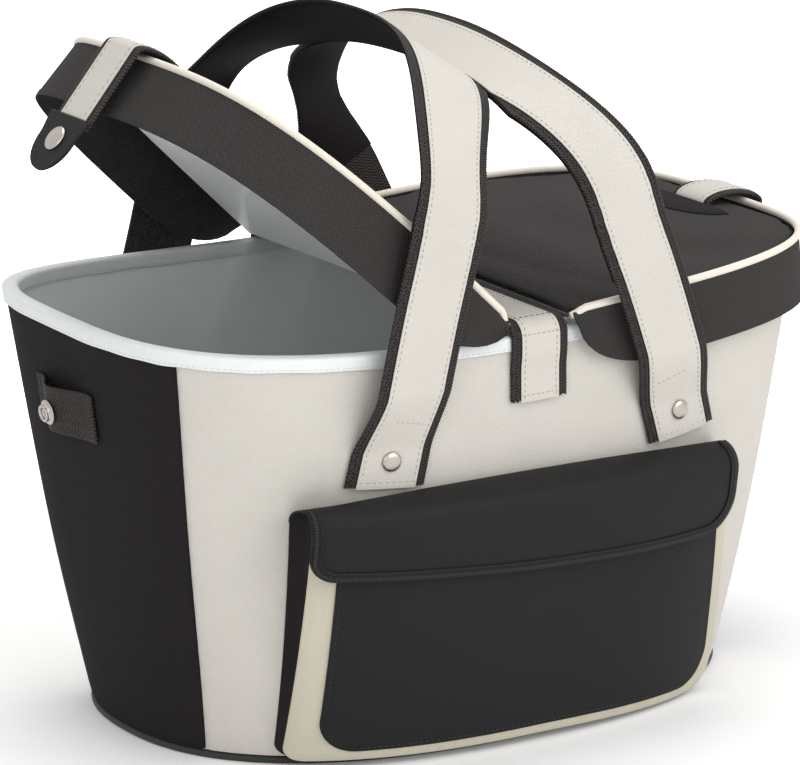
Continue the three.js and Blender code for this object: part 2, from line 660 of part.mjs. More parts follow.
// Gusset: a band round the pocket's sides and bottom, from the tub to the pocket's front,
// splayed and raised at the tub
function pocketGusset() {
  const { x, halfWidth, bottom, top, corner, splay } = POCKET;
  const sideX = halfWidth - 0.1;
  const side = steps(6, top - 2, bottom + corner).map((z) => [x - sideX, z, -1, 0]);
  const bend = steps(6, 0, Math.PI / 2).slice(1).map((a) => {
    const [c, s] = [Math.cos(a), Math.sin(a)];
    return [x - sideX + corner * (1 - c), bottom + corner * (1 - s), -c, -s];
  });
  const floor = steps(14, x - sideX + corner, x).slice(1).map((at) => [at, bottom, 0, -1]);
  const half = [...side, ...bend, ...floor];
  const mirrored = half.slice(0, -1).map(([at, z, nx, nz]) => [2 * x - at, z, -nx, nz]).reverse();
  const rings = [...half, ...mirrored].map(([at, z, nx, nz]) => {
    const [px, pz] = [at - nx * FABRIC, z - nz * FABRIC];
    const back = (ax, az) => {
      const [bx, bz] = [flared(ax, az) + splay * nx, az + GUSSET_RAISE * clamp(az / top, 0, 1) ** 2];
      return vec(bx, -(wallY(bx, bz) + 2 * GAP), bz);
    };
    const front = (ax, az) => pocketPoint(ax, az, -FABRIC - INNER_GAP);
    return [back(at, z), front(at, z), front(px, pz), back(px, pz)];
  });
  return loft(rings);
}

// Flap surface: forward from the hinge line over a rounded top, then down the pocket's front
const FLAP_CLEAR = 4.8; // flap's inner face in front of the pocket's
const FLAP_TURN = 0.42; // share of the flap that makes the rounded top
const FLAP_ROOT = wallY(POCKET.x, FLAP.height) + FLAP.ledge; // hinge line, in front of the wall

function flapPoint(x, v, lift) {
  const end = Math.abs(x - POCKET.x) / FLAP.halfWidth;
  const start = FLAP_ROOT + 2 * GAP;
  const slant = (FLAP.slant * (x - POCKET.x)) / FLAP.halfWidth;
  const bottom = roundedBottom({ ...FLAP, x: POCKET.x }, x) + 3 * end ** 2 + slant;
  const level = FLAP.height - FLAP.crown - 4 * end ** 2;
  const faceY = (z) => wallY(x, z) + pocketDepth(z) + FLAP_CLEAR;
  if (v > FLAP_TURN) {
    const z = mix(level, bottom, (v - FLAP_TURN) / (1 - FLAP_TURN));
    return vec(x, -(faceY(z) + lift), z);
  }
  const turn = (Math.PI / 2) * (v / FLAP_TURN);
  const reach = faceY(level) - start + lift;
  const climb = FLAP.height - 4 * end ** 2 - level + lift;
  return vec(x, -(start + reach * Math.sin(turn)), level + climb * Math.cos(turn));
}

const FLAP_THICKNESS = 1.6;

function pocketFlap() {
  const stations = panelStations({ ...FLAP, x: POCKET.x }, 12);
  const downs = [...steps(4, 0, FLAP_TURN), ...steps(2, FLAP_TURN, 1).slice(1)];
  return sheet(flapPoint, stations, downs, 0, FLAP_THICKNESS);
}

// Fixed strip that carries the flap, from the tub to the hinge line
function flapRoot() {
  const stations = steps(20, POCKET.x - FLAP.halfWidth, POCKET.x + FLAP.halfWidth);
  const surface = (x, v, lift) => {
    const end = Math.abs(x - POCKET.x) / FLAP.halfWidth;
    const z = FLAP.height - 4 * end ** 2 + lift;
    const at = flared(x, 0) * (1 - v) + x * v;
    return vec(at, -mix(wallY(at, z) + 1.5 * GAP, FLAP_ROOT, v), z);
  };
  return sheet(surface, stations, [0, 1], 0, FABRIC);
}

// Ribbed binding along the flap's two sides and bottom
function flapBinding() {
  const [width, hem, x0] = [5, 0.08, POCKET.x]; // the hem is a share of the flap's run
  const { halfWidth, corner } = FLAP;
  const side = steps(8, 0.02, 0.86).map((v) => [[-halfWidth, v], [-halfWidth + width, v]]);
  const bend = steps(6, 0, Math.PI / 2).slice(1).map((a) => {
    const dx = halfWidth - corner * (1 - Math.cos(a));
    return [[-dx, 1], [-dx + width * Math.cos(a), 1 - hem * Math.sin(a)]];
  });
  const floor = steps(7, -halfWidth + corner, 0).slice(1).map((dx) => [[dx, 1], [dx, 1 - hem]]);
  const half = [...side, ...bend, ...floor];
  const mirrored = half.slice(0, -1).map((pair) => pair.map(([dx, v]) => [-dx, v])).reverse();
  const [low, high] = [FLAP_THICKNESS + GAP, FLAP_THICKNESS + GAP + 0.7];
  const rings = [...half, ...mirrored].map(([edge, inside]) => [
    flapPoint(x0 + edge[0], edge[1], low), flapPoint(x0 + edge[0], edge[1], high),
    flapPoint(x0 + inside[0], inside[1], high), flapPoint(x0 + inside[0], inside[1], low),
  ]);
  return loft(rings);
}

// Closure tape: hooks on the pocket, loops inside the flap
const TAPE = { halfWidth: 45, bottom: 121, top: 139 };
const tapeStations = steps(6, POCKET.x - TAPE.halfWidth, POCKET.x + TAPE.halfWidth);

function closureTape(low, high) {
  const surface = (x, z, lift) => pocketPoint(x, z, lift);
  return sheet(surface, tapeStations, [TAPE.bottom, TAPE.top], low, high);
}

// Assembly
const bag = new THREE.Group();
bag.name = "picnic_cooler_bag";

function add(name, geometry, [color, roughness, metalness]) {
  const material = new THREE.MeshStandardMaterial({ color, roughness, metalness });
  const mesh = new THREE.Mesh(geometry, material);
  mesh.name = name;
  bag.add(mesh);
}

const corners = [[-1, -1], [1, -1], [-1, 1], [1, 1]];
const rivets = corners.map(([strap, side]) => rivetPlace(strap, side));
const holes = rivets.map(rivetHole);

// Tub
add("front_panel", cut(longPanel(270), holes.slice(0, 2)), CREAM);
add("rear_panel", cut(longPanel(90), holes.slice(2)), CREAM);
add("left_end_panel", endPanel(180), BLACK);
add("right_end_panel", endPanel(0), BLACK);
add("base_panel", basePlate(1 + BASE_PIPING + GAP, 0, FABRIC), BLACK);
add("base_piping", basePiping(), WEB_BLACK);
add("base_board", basePlate(6, FABRIC + GAP, 4), BOARD);
const floorLevel = 2 * BASE_PIPING + 0.5;
const foam = cup(FOAM_FACE, FOAM, floorLevel, FOAM, PANEL_TOP);
add("wall_foam", cut(foam, rivets.map(washerHollow)), FOAM_GREY);
add("liner", cup(LINER_FACE, LINER, floorLevel + FOAM + INNER_GAP, LINER, PANEL_TOP), WHITE);
add("rim_binding", rimBinding(), WHITE);

// Strap between the lids
add("centre_strap_webbing", centreStrap(STRAP.halfWidth, 0, WEBBING, 0), WEB_BLACK);
const strapOverlay = [STRAP.halfWidth - OVERLAY_INSET, OVERLAY_FACE, OVERLAY_FACE + OVERLAY];
add("centre_strap_overlay", centreStrap(...strapOverlay, 0.004), CREAM);

// Pocket
add("pocket_gusset", pocketGusset(), BLACK);
add("pocket_front", pocketPanel(POCKET, -FABRIC, 0), POCKET_CREAM);
add("pocket_inset_panel", pocketPanel(INSET, 2 * GAP, 2 * GAP + 1), POCKET_BLACK);
add("pocket_hook_tape", closureTape(1 + 3 * GAP, 2 + 3 * GAP), WEB_BLACK);
add("pocket_flap_root", flapRoot(), POCKET_BLACK);
add("pocket_flap", pocketFlap(), POCKET_BLACK);
add("pocket_flap_binding", flapBinding(), WEB_BLACK);
add("pocket_loop_tape", closureTape(FLAP_CLEAR - GAP - 1, FLAP_CLEAR - GAP), WEB_BLACK);

// Handle
add("left_handle_webbing", cut(handleWebbing(-1), [holes[0], holes[2]]), WEB_BLACK);
add("right_handle_webbing", cut(handleWebbing(1), [holes[1], holes[3]]), WEB_BLACK);
add("handle_overlay", cut(handleOverlay(), holes), CREAM);
add("handle_lining", handleLining(), LINING_BLACK);
const rivetNames = ["front_left_rivet", "front_right_rivet", "rear_left_rivet", "rear_right_rivet"];
rivetNames.forEach((name, i) => add(name, rivet(rivets[i]), NICKEL));

// Lids with their pull straps and snap tabs, made once for the right end and mirrored for the left
const BOARD_FACE = -FABRIC - 2 * GAP;
const LINING_FACE = BOARD_FACE - LID_BOARD - GAP;
const lidPieces = [
  ["lid_top", lidLayer(LID_PIPING + GAP, LID_START, -FABRIC, 0), LID_BLACK],
  ["lid_board", lidLayer(BOARD_INSET, LID_START, BOARD_FACE - LID_BOARD, BOARD_FACE), FOAM_GREY],
  ["lid_lining", lidLayer(BOARD_INSET - 0.5, LID_START + 1.5, LINING_FACE - LINER, LINING_FACE), WHITE],
  ["lid_skirt", lidSkirt(), LID_BLACK],
  ["lid_binding", lidBinding(), BLACK],
  ["lid_piping", lidPiping(), PIPING_CREAM],
  ["lid_patch", lidPatch(), BLACK],
  ["pull_webbing", pullStrap(TAB.halfWidth, 0, WEBBING), WEB_BLACK],
  ["pull_overlay", pullStrap(TAB.halfWidth - 5, OVERLAY_FACE, OVERLAY_FACE + OVERLAY), CREAM],
  ["tab_webbing", tabStrap(TAB.halfWidth, 0, WEBBING, TAB.shoulder - 5), WEB_BLACK],
  ["tab_overlay",
    tabStrap(TAB.halfWidth - 5, OVERLAY_FACE, OVERLAY_FACE + OVERLAY, TAB.shoulder + GAP), CREAM],
  ["tab_end", tabEnd(), POCKET_BLACK],
  ["snap_cap", snapCap(), NICKEL],
];

const mirror = new THREE.Matrix4().makeScale(-1, 1, 1);
const toHinge = new THREE.Matrix4().makeTranslation(HINGE_X, 0, -HINGE.z);
const open = new THREE.Matrix4().makeRotationY(degToRad(LEFT_LID_OPEN));
const openLeft = toHinge.clone().invert().multiply(open).multiply(toHinge).multiply(mirror);

for (const [name, geometry, finish] of lidPieces) {
  add(`right_${name}`, geometry, finish);
  add(`left_${name}`, moved(geometry, openLeft), finish);
}

// End loops and their studs
for (const [name, side] of [["left", -1], ["right", 1]]) {
  add(`${name}_end_loop`, endLoop(side), WEB_BLACK);
  add(`${name}_snap_stud`, snapStud(side), NICKEL);
}

export default bag;
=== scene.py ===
# %% [markdown]
# # A picnic cooler bag with two hinged lids
#
# The real bag is a padded cloth tub with a wipe-clean liner, two stiffened lids that turn on a
# strap over the middle, a four-legged carrying handle and a pocket on the front. Nearly every
# piece is cloth or webbing, so the file has one helper that turns a rule for a surface into a
# thin closed body with rounded edges, and small node trees that sew stitches, ribs and piping
# along paths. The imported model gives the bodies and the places, and every piece rides on it.

import bmesh
import bpy
import numpy as np
from mathutils import Matrix, Vector


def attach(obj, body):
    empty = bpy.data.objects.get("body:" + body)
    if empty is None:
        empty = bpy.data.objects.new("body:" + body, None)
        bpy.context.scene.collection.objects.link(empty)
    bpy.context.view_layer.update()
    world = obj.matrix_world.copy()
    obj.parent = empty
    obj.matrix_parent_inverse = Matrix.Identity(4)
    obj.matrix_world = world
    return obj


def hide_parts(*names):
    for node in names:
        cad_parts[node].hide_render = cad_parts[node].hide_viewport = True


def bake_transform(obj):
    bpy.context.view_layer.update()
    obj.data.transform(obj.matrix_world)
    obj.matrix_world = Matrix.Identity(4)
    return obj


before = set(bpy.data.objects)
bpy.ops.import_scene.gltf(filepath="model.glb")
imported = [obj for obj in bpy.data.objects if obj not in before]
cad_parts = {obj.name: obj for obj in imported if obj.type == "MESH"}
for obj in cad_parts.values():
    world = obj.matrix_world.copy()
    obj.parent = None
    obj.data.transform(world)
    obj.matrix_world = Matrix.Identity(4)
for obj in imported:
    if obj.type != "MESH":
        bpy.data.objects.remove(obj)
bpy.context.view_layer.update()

# %% [markdown]
# ## Camera
#
# The camera's place was worked out from the bag's edges in the photograph: low, from the front
# left, with a long lens from three metres. It could be placed by eye, but a matrix from an angle,
# a height angle and a roll is exact and easy to change. The shift is small and only frames it.
# Focal length and shift were measured in pixels of the picture, 800 wide.

# %% Camera
MM = 0.001
AZIMUTH, ELEVATION, ROLL = np.radians([-32.1, 15.98, -0.35])
DISTANCE, TARGET = 3.0, Vector((0, 0, 0.150))
PICTURE_WIDTH, FOCAL_PIXELS, SHIFT_PIXELS, SENSOR = 800, 5101.6, (-4.2, 47.4), 36


def linked(name, data):
    """A new object of the scene that carries the data."""
    made = bpy.data.objects.new(name, data)
    bpy.context.scene.collection.objects.link(made)
    return made


flat = np.cos(ELEVATION)
back = Vector((np.sin(AZIMUTH) * flat, -np.cos(AZIMUTH) * flat, np.sin(ELEVATION)))
level = Vector((np.cos(AZIMUTH), np.sin(AZIMUTH), 0))
upward = back.cross(level)
right_axis = level * np.cos(ROLL) + upward * np.sin(ROLL)
up_axis = upward * np.cos(ROLL) - level * np.sin(ROLL)

lens = bpy.data.cameras.new("camera")
lens.sensor_fit, lens.sensor_width, lens.lens = "HORIZONTAL", SENSOR, FOCAL_PIXELS * SENSOR / PICTURE_WIDTH
lens.shift_x, lens.shift_y = [pixels / PICTURE_WIDTH for pixels in SHIFT_PIXELS]
lens.clip_end = 20
camera = linked("camera", lens)
turn = Matrix((right_axis, up_axis, back)).transposed().to_4x4()
camera.matrix_world = Matrix.Translation(TARGET + back * DISTANCE) @ turn
bpy.context.scene.camera = camera
print("camera at", [round(v, 3) for v in camera.location])

# %% [markdown]
# ## Sizes
#
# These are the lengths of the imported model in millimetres, repeated here because the surfaces of
# the looks follow the same rules as its solids. Keeping them in one place lets a reader see that
# the tub is two superellipses, one at the foot and one at the rim, with a line between them.
# Every length, depth and half is measured from a middle, and a pair of corners is left and right.

# %% Sizes of the tub, lids, handle and pocket
RIM = dict(length=229, depth=140.8, power=3.55)
FOOT = dict(length=192, depth=135, power=2.35)
BULGE, RIM_HEIGHT, RIM_RISE = 2.5, 240, 12
SEAM_FOOT, SEAM_RIM = 25.5, 31.5
LID = dict(length=232.5, depth=144, power=3.45, height=249, rise=12, dome=4)
HINGE_X, HINGE_Z, HINGE_RADIUS, LEFT_OPEN = 20.2, 247.5, 1.2, 40
PULL_START, PULL_RISE = 206.5, 5
LOOP = dict(y=5, z=196, up=2, half=14.5, front=36, rear=27, bow={1: 14, -1: 8})
SKIRT_DROP, SKIRT_FLARE = 39, 3
STRAP_HALF, STRAP_BOTTOM = 18.7, 202
RIVET_X, RIVET_Z = 97, 181
POCKET = dict(x=-11, half=137, bottom=4.9, top=146, corner=(9, 24))
POCKET_FLARE, POCKET_LEAN, POCKET_DROP, POCKET_PULL, GUSSET_SPLAY = 0.04, 5.2, 2.4, 2, (2, 5)
INSET = dict(x=-10, half=126, bottom=11, top=143, corner=(20, 22))
FLAP = dict(x=-11, half=138, root=144.53, height=160.6, crown=10, bottom=110, slant=-5,
    corner=(13, 24))
GAP, INNER_GAP, FABRIC, FOAM, LINER, WEBBING, OVERLAY = 0.3, 0.5, 1.2, 3, 0.8, 2, 0.8
BASE_PIPING, LID_PIPING = 2.1, 2.4
LID_START = HINGE_X + HINGE_RADIUS + GAP
FOAM_FACE = FABRIC + INNER_GAP
LINER_FACE = FOAM_FACE + FOAM + INNER_GAP
WALL = LINER_FACE + LINER
SIDES = ((-1, "left"), (1, "right"))
print("tub", 2 * RIM["length"], "x", 2 * RIM["depth"], "x", RIM_HEIGHT, "mm")

# %% [markdown]
# ## Colour and node helpers
#
# Colours are read off the photograph as ordinary sRGB hex values. Shader sockets want linear
# light, so one function converts them. Two more fill a node's inputs with values or links and
# add a node with its properties set, which keeps each material down to a few lines.

# %% Helpers for nodes
def linear(hex_colour):
    parts = [int(hex_colour[i:i + 2], 16) / 255 for i in (1, 3, 5)]
    return [c / 12.92 if c <= 0.04045 else ((c + 0.055) / 1.055) ** 2.4 for c in parts] + [1.0]


def fill(tree, node, inputs):
    for key, value in dict(inputs).items():
        if isinstance(value, bpy.types.NodeSocket):
            tree.links.new(value, node.inputs[key])
        else:
            node.inputs[key].default_value = value


def add(tree, kind, inputs=(), **settings):
    node = tree.nodes.new(kind)
    for key, value in settings.items():
        setattr(node, key, value)
    fill(tree, node, inputs)
    return node


def material(name):
    made = bpy.data.materials.new(name)
    made.use_nodes = True
    made.node_tree.nodes.clear()
    output = add(made.node_tree, "ShaderNodeOutputMaterial")
    surface = add(made.node_tree, "ShaderNodeBsdfPrincipled")
    made.node_tree.links.new(surface.outputs[0], output.inputs[0])
    return made, made.node_tree, surface


print("half bright sRGB in linear light:", round(linear("#808080")[0], 3))


# %% [markdown]
# ## Woven polyester
#
# The bag is 600 denier polyester canvas: a plain weave of flat matt threads, so light makes tiny
# domes where threads cross and dark pits between them. An image of cloth would do, but a product
# of two sines gives the same domes at any scale, and the cloth's own map in metres keeps the
# threads at their real size. Real threads are half a millimetre, too fine for this picture, so
# they are drawn about twice as coarse. Slow noise varies the dye a little, as rolls of cloth do.

# %% Woven cloths
def woven(name, colour, pit_shade, thread, rough, gloss, slant=0.0, bump=0.5, mottle=0.02):
    made, tree, surface = material(name)
    cloth_map = add(tree, "ShaderNodeUVMap", uv_map="cloth")
    threads = add(tree, "ShaderNodeMapping", {"Vector": cloth_map.outputs[0],
        "Rotation": (0, 0, slant), "Scale": (np.pi / (thread * MM),) * 3})
    axes = add(tree, "ShaderNodeSeparateXYZ", {0: threads.outputs[0]})
    warp = add(tree, "ShaderNodeMath", {0: axes.outputs[0]}, operation="SINE")
    weft = add(tree, "ShaderNodeMath", {0: axes.outputs[1]}, operation="SINE")
    crossing = add(tree, "ShaderNodeMath", {0: warp.outputs[0], 1: weft.outputs[0]},
        operation="MULTIPLY")
    dome = add(tree, "ShaderNodeMath", {0: crossing.outputs[0]}, operation="ABSOLUTE")
    spot = add(tree, "ShaderNodeTexCoord").outputs["Object"]
    slub = add(tree, "ShaderNodeTexNoise", {"Vector": spot, "Scale": 900.0, "Detail": 2.0,
        "Roughness": 0.6})
    dye = add(tree, "ShaderNodeTexNoise", {"Vector": spot, "Scale": 28.0, "Detail": 3.0})
    height = add(tree, "ShaderNodeMath", {0: slub.outputs[0], 1: 0.7, 2: dome.outputs[0]},
        operation="MULTIPLY_ADD")
    # The pit colour is painted shade: the pits between the threads are darkened in the base colour, on top
    # of the bump
    shade = add(tree, "ShaderNodeMix", {0: dome.outputs[0], 6: linear(pit_shade), 7: linear(colour)},
        data_type="RGBA")
    tint = add(tree, "ShaderNodeMapRange", {0: dye.outputs[0], 1: 0.3, 2: 0.7, 3: 1 - mottle,
        4: 1 + mottle})
    dyed = add(tree, "ShaderNodeVectorMath", {0: shade.outputs[2], 3: tint.outputs[0]},
        operation="SCALE")
    lit = add(tree, "ShaderNodeBump", {"Height": height.outputs[0], "Strength": bump,
        "Distance": 0.35 * thread * MM})
    fill(tree, surface, {"Base Color": dyed.outputs[0], "Normal": lit.outputs[0], "Roughness": rough,
        "Specular IOR Level": gloss})
    return made


# Undyed-looking canvas: matt, warm white, with soft grey painted shade in its pits
cream_canvas = woven("cream_polyester_canvas", "#d4d0c9", "#c8c3bb", 1.1, 0.85, 0.25)
# Slightly yellower cloth of the pocket's border
pocket_canvas = woven("pocket_cream_canvas", "#cec9b7", "#bcb6a4", 1.0, 0.75, 0.25)
# Black canvas of the end panels and gusset: brownish black, very matt
black_canvas = woven("black_polyester_canvas", "#2c2929", "#191717", 1.2, 0.9, 0.12, bump=0.7)
# Lid cloth: the same canvas cut on the bias, so its rows run diagonally, faded to a warm grey
lid_canvas = woven("lid_polyester_twill", "#484544", "#2b2928", 1.3, 0.85, 0.15, slant=np.pi / 4,
    bump=0.8)
# Pocket flap and panel: finer, smoother cloth with a slight coat
coated_cloth = woven("coated_black_polyester", "#232323", "#1a1a1a", 0.8, 0.6, 0.15, bump=0.25)
# Lining of the handle: smooth tape
lining_tape = woven("black_lining_tape", "#1d1a19", "#131110", 0.9, 0.75, 0.12, bump=0.3)
canvases = (cream_canvas, pocket_canvas, black_canvas, lid_canvas, coated_cloth, lining_tape)
print("woven cloths:", [cloth.name for cloth in canvases])

# %% [markdown]
# ## Webbing
#
# The straps are black polypropylene webbing: thick yarns that zigzag across the strap in narrow
# columns, with a hard low gloss. A ping-pong of the place across the strap pushes the phase of a
# sine along it, which draws the chevrons. The outermost yarns, which show against pale cloth, are
# real geometry that is laid on later. A very wide column leaves plain ribs, as on grosgrain.

# %% Webbing and ribbed binding
def ribbed(name, colour, pit_shade, rib, column, rough, bump):
    made, tree, surface = material(name)
    cloth_map = add(tree, "ShaderNodeUVMap", uv_map="cloth")
    axes = add(tree, "ShaderNodeSeparateXYZ", {0: cloth_map.outputs[0]})
    zigzag = add(tree, "ShaderNodeMath", {0: axes.outputs[1], 1: column * MM}, operation="PINGPONG")
    along = add(tree, "ShaderNodeMath", {0: axes.outputs[0], 1: zigzag.outputs[0]}, operation="ADD")
    phase = add(tree, "ShaderNodeMath", {0: along.outputs[0], 1: np.pi / (rib * MM)},
        operation="MULTIPLY")
    wave = add(tree, "ShaderNodeMath", {0: phase.outputs[0]}, operation="SINE")
    yarn = add(tree, "ShaderNodeMath", {0: wave.outputs[0]}, operation="ABSOLUTE")
    spot = add(tree, "ShaderNodeTexCoord").outputs["Object"]
    fibre = add(tree, "ShaderNodeTexNoise", {"Vector": spot, "Scale": 1500.0, "Detail": 1.0})
    height = add(tree, "ShaderNodeMath", {0: fibre.outputs[0], 1: 0.3, 2: yarn.outputs[0]},
        operation="MULTIPLY_ADD")
    # The pit colour is painted shade: the grooves between the yarns are darkened in the base colour, on
    # top of the bump
    shade = add(tree, "ShaderNodeMix", {0: yarn.outputs[0], 6: linear(pit_shade), 7: linear(colour)},
        data_type="RGBA")
    lit = add(tree, "ShaderNodeBump", {"Height": height.outputs[0], "Strength": bump,
        "Distance": 0.8 * MM})
    fill(tree, surface, {"Base Color": shade.outputs[2], "Normal": lit.outputs[0],
        "Roughness": rough, "Specular IOR Level": 0.2})
    return made


# Strap webbing: chevrons 2.2 mm apart in columns 3 mm wide, with near-black painted shade between them
black_webbing = ribbed("black_polypropylene_webbing", "#423d3a", "#0b0a0a", 2.2, 3.0, 0.6, 1.0)
# Grosgrain tape that binds the flap: plain ribs across it, with painted shade between them
grosgrain = ribbed("black_grosgrain_tape", "#242223", "#0e0d0e", 1.5, 500.0, 0.65, 0.8)
print("ribbed tapes:", black_webbing.name, "and", grosgrain.name)

# %% [markdown]
# ## Liner film, piping, thread, foam and metal
#
# The liner and rim tape are PEVA film: smooth, bluish white and a little glossy, with faint
# crumples. Piping is a cord wrapped in cream cloth. Snaps and rivets are nickel-plated brass,
# tumbled to a satin. None has a repeating pattern that shows here, so noise on Object
# coordinates is enough for all of them.

# %% Plain finishes
def plain(name, colour, dark, rough, grain, bump, metal=0.0, coat=0.0, sheen=0.0):
    made, tree, surface = material(name)
    spot = add(tree, "ShaderNodeTexCoord").outputs["Object"]
    noise = add(tree, "ShaderNodeTexNoise", {"Vector": spot, "Scale": 1 / (grain * MM),
        "Detail": 4.0, "Roughness": 0.55})
    shade = add(tree, "ShaderNodeMix", {0: noise.outputs[0], 6: linear(dark), 7: linear(colour)},
        data_type="RGBA")
    uneven = add(tree, "ShaderNodeMapRange", {0: noise.outputs[0], 1: 0.3, 2: 0.7, 3: rough * 0.85,
        4: min(1.0, rough * 1.15)})
    lit = add(tree, "ShaderNodeBump", {"Height": noise.outputs[0], "Strength": bump,
        "Distance": 0.1 * grain * MM})
    fill(tree, surface, {"Base Color": shade.outputs[2], "Roughness": uneven.outputs[0],
        "Normal": lit.outputs[0], "Metallic": metal, "Coat Weight": coat, "Sheen Weight": sheen})
    return made


# Liner film: grain is the size of its crumples, 14 mm
liner_film = plain("white_peva_film", "#f6f7f7", "#ebeeef", 0.42, 14.0, 0.35, coat=0.1)
# Rim tape: the same film laid over a woven back, so flatter and less glossy
rim_tape = plain("white_rim_tape", "#e6e8e8", "#dbdedf", 0.55, 5.0, 0.2)
# Cloth round the piping cords: thin, close and a little fuzzy
piping_cloth = plain("cream_piping_cloth", "#e8e2d6", "#d8d0c0", 0.7, 1.2, 0.5, sheen=0.1)
black_piping = plain("black_piping_cloth", "#2a2828", "#191818", 0.7, 1.2, 0.5, sheen=0.1)
# Sewing threads: twisted polyester, with a soft shine along the twist
# The cream thread is darker than the cloth it is sewn on: partly its own colour, partly painted shade for
# the small shadows round each stitch
cream_thread = plain("cream_polyester_thread", "#b4aa99", "#9a8f7e", 0.6, 0.4, 0.5)
black_thread = plain("black_polyester_thread", "#2a2828", "#151414", 0.5, 0.4, 0.5)
white_thread = plain("white_polyester_thread", "#d3d7d9", "#bcc2c5", 0.6, 0.4, 0.5)
# Outermost yarns of the webbing, which rub paler than its middle
edge_yarn = plain("black_edge_yarn", "#302d2b", "#1a1817", 0.6, 0.8, 0.5)
# Hidden sheets: closed-cell foam and a ribbed plastic board
foam_sheet = plain("grey_polyethylene_foam", "#d3d6d9", "#bfc3c7", 0.95, 1.5, 0.6)
grey_board = plain("grey_polypropylene_board", "#97999c", "#85878a", 0.6, 2.0, 0.2)
# Snaps and rivets: nickel plate with a tumbled, satin shine
satin_nickel = plain("satin_nickel_plate", "#bfb8b1", "#a8a19a", 0.28, 0.5, 0.05, metal=1.0)
print("materials:", len(bpy.data.materials))

# %% [markdown]
# ## A thin body from a surface rule
#
# Every panel, strap and tape is the same kind of thing: a sheet with a thickness and rounded cut
# edges. Solidify could thicken a grid, but its edges are square. Here a rule gives the point for
# a place along (u), across (v) and above (lift) the sheet, and the thickness closes to nothing at
# the four edges on a quarter circle. The map called cloth keeps lengths in metres.

# %% Rows of points on a sheet and the shape of its edge
EDGE_STEPS, CLEAR_OF_EDGE = np.array([0.12, 0.45, 1.0]), 1.3


def stations(grid, params, edge, rounded):
    """The wanted rows of a grid, with three more near each rounded edge."""
    run = np.linalg.norm(np.diff(grid, axis=0), axis=-1).mean(axis=1)
    length = np.concatenate([[0], np.cumsum(run)])
    clear = CLEAR_OF_EDGE * edge
    want = [0, length[-1], *length[(length > clear) & (length < length[-1] - clear)]]
    if rounded[0]:
        want += list(edge * EDGE_STEPS)
    if rounded[1]:
        want += list(length[-1] - edge * EDGE_STEPS)
    return np.interp(sorted(want), length, params)


def quarter(distance, edge):
    """Share of the thickness that is left at a distance from a cut edge."""
    return np.sqrt(np.clip(1 - (1 - np.clip(distance / edge, 0, 1)) ** 2, 0, 1))


print("thickness half way into an edge:", round(float(quarter(0.5, 1.0)), 3))


# %% The two faces of a sheet
def sheet_grid(surface, us, vs, low, high, rounded, open_inner):
    """Both faces as grids of points, and how far along and across the sheet each point lies."""
    middle, half = (low + high) / 2, (high - low) / 2
    probe = surface(us[:, None], vs[None, :], middle)
    us = stations(probe, us, half, rounded[:2])
    vs = stations(probe.transpose(1, 0, 2), vs, half, rounded[2:])
    U, V = us[:, None] + 0 * vs[None, :], vs[None, :] + 0 * us[:, None]
    flat = surface(U, V, middle)
    step_u = np.linalg.norm(np.diff(flat, axis=0), axis=2)
    step_v = np.linalg.norm(np.diff(flat, axis=1), axis=2)
    along = np.concatenate([np.zeros((1, len(vs))), np.cumsum(step_u, axis=0)])
    across = np.concatenate([np.zeros((len(us), 1)), np.cumsum(step_v, axis=1)], axis=1)
    across_left = across[:, -1:] - across
    keep, along_mean = np.ones_like(U), along.mean(axis=1, keepdims=True)
    for k, distance in enumerate((along_mean, along_mean[-1] - along_mean, across, across_left)):
        share = quarter(distance, half)
        if k == 2 and open_inner is not None:
            share = np.where(open_inner(U), 1, share)
        if rounded[k]:
            keep = np.minimum(keep, share)
    top, bottom = surface(U, V, middle + half * keep), surface(U, V, middle - half * keep)
    return top, bottom, along, across


def flat_cloth(u, v, lift):
    """A flat cloth of 40 by 20 mm, to try the grid on."""
    return np.stack(np.broadcast_arrays(40.0 * u, 20.0 * v, lift), -1)


tried = sheet_grid(flat_cloth, np.linspace(0, 1, 9), np.linspace(0, 1, 5), 0, 1, (True,) * 4, None)
print("a flat cloth with four round edges gets", tried[0].shape[:2], "points on each face")


# %% Faces of grids
def grid_faces(rows, columns, close_rows=False, close_columns=False):
    """Quads between points that are counted row by row, joined end to end where it is closed."""
    i, j = np.meshgrid(np.arange(rows - (not close_rows)), np.arange(columns - (not close_columns)),
        indexing="ij")
    n, k = (i + 1) % rows, (j + 1) % columns
    corners = [i * columns + j, n * columns + j, n * columns + k, i * columns + k]
    return np.stack(corners, -1).reshape(-1, 4)


def shell_faces(rows, columns, loop):
    """Both faces of a sheet and the narrow walls that join them."""
    top, total = grid_faces(rows, columns, loop), rows * columns
    faces = [top, top[:, ::-1] + total]
    k = np.arange(rows if loop else rows - 1)
    first, second = k * columns, (k + 1) % rows * columns
    borders = [(first, second, False), (first + columns - 1, second + columns - 1, True)]
    if not loop:
        k = np.arange(columns - 1)
        borders += [(k, k + 1, True), (total - columns + k, total - columns + k + 1, False)]
    for a, b, flip in borders:
        wall = np.stack([a, a + total, b + total, b], -1)
        faces.append(wall[:, ::-1] if flip else wall)
    return np.concatenate(faces)


print("faces of a sheet of 3 by 3 points:", len(shell_faces(3, 3, False)))


# %% Meshes and thin bodies
MERGE, DEGENERATE = 1e-6, 1e-7


def clean(mesh, merge=True):
    """Merges doubled points and turns every face outwards."""
    work = bmesh.new()
    work.from_mesh(mesh)
    if merge:
        bmesh.ops.remove_doubles(work, verts=work.verts, dist=MERGE)
        bmesh.ops.dissolve_degenerate(work, edges=work.edges, dist=DEGENERATE)
    bmesh.ops.recalc_face_normals(work, faces=work.faces)
    work.to_mesh(mesh)
    work.free()


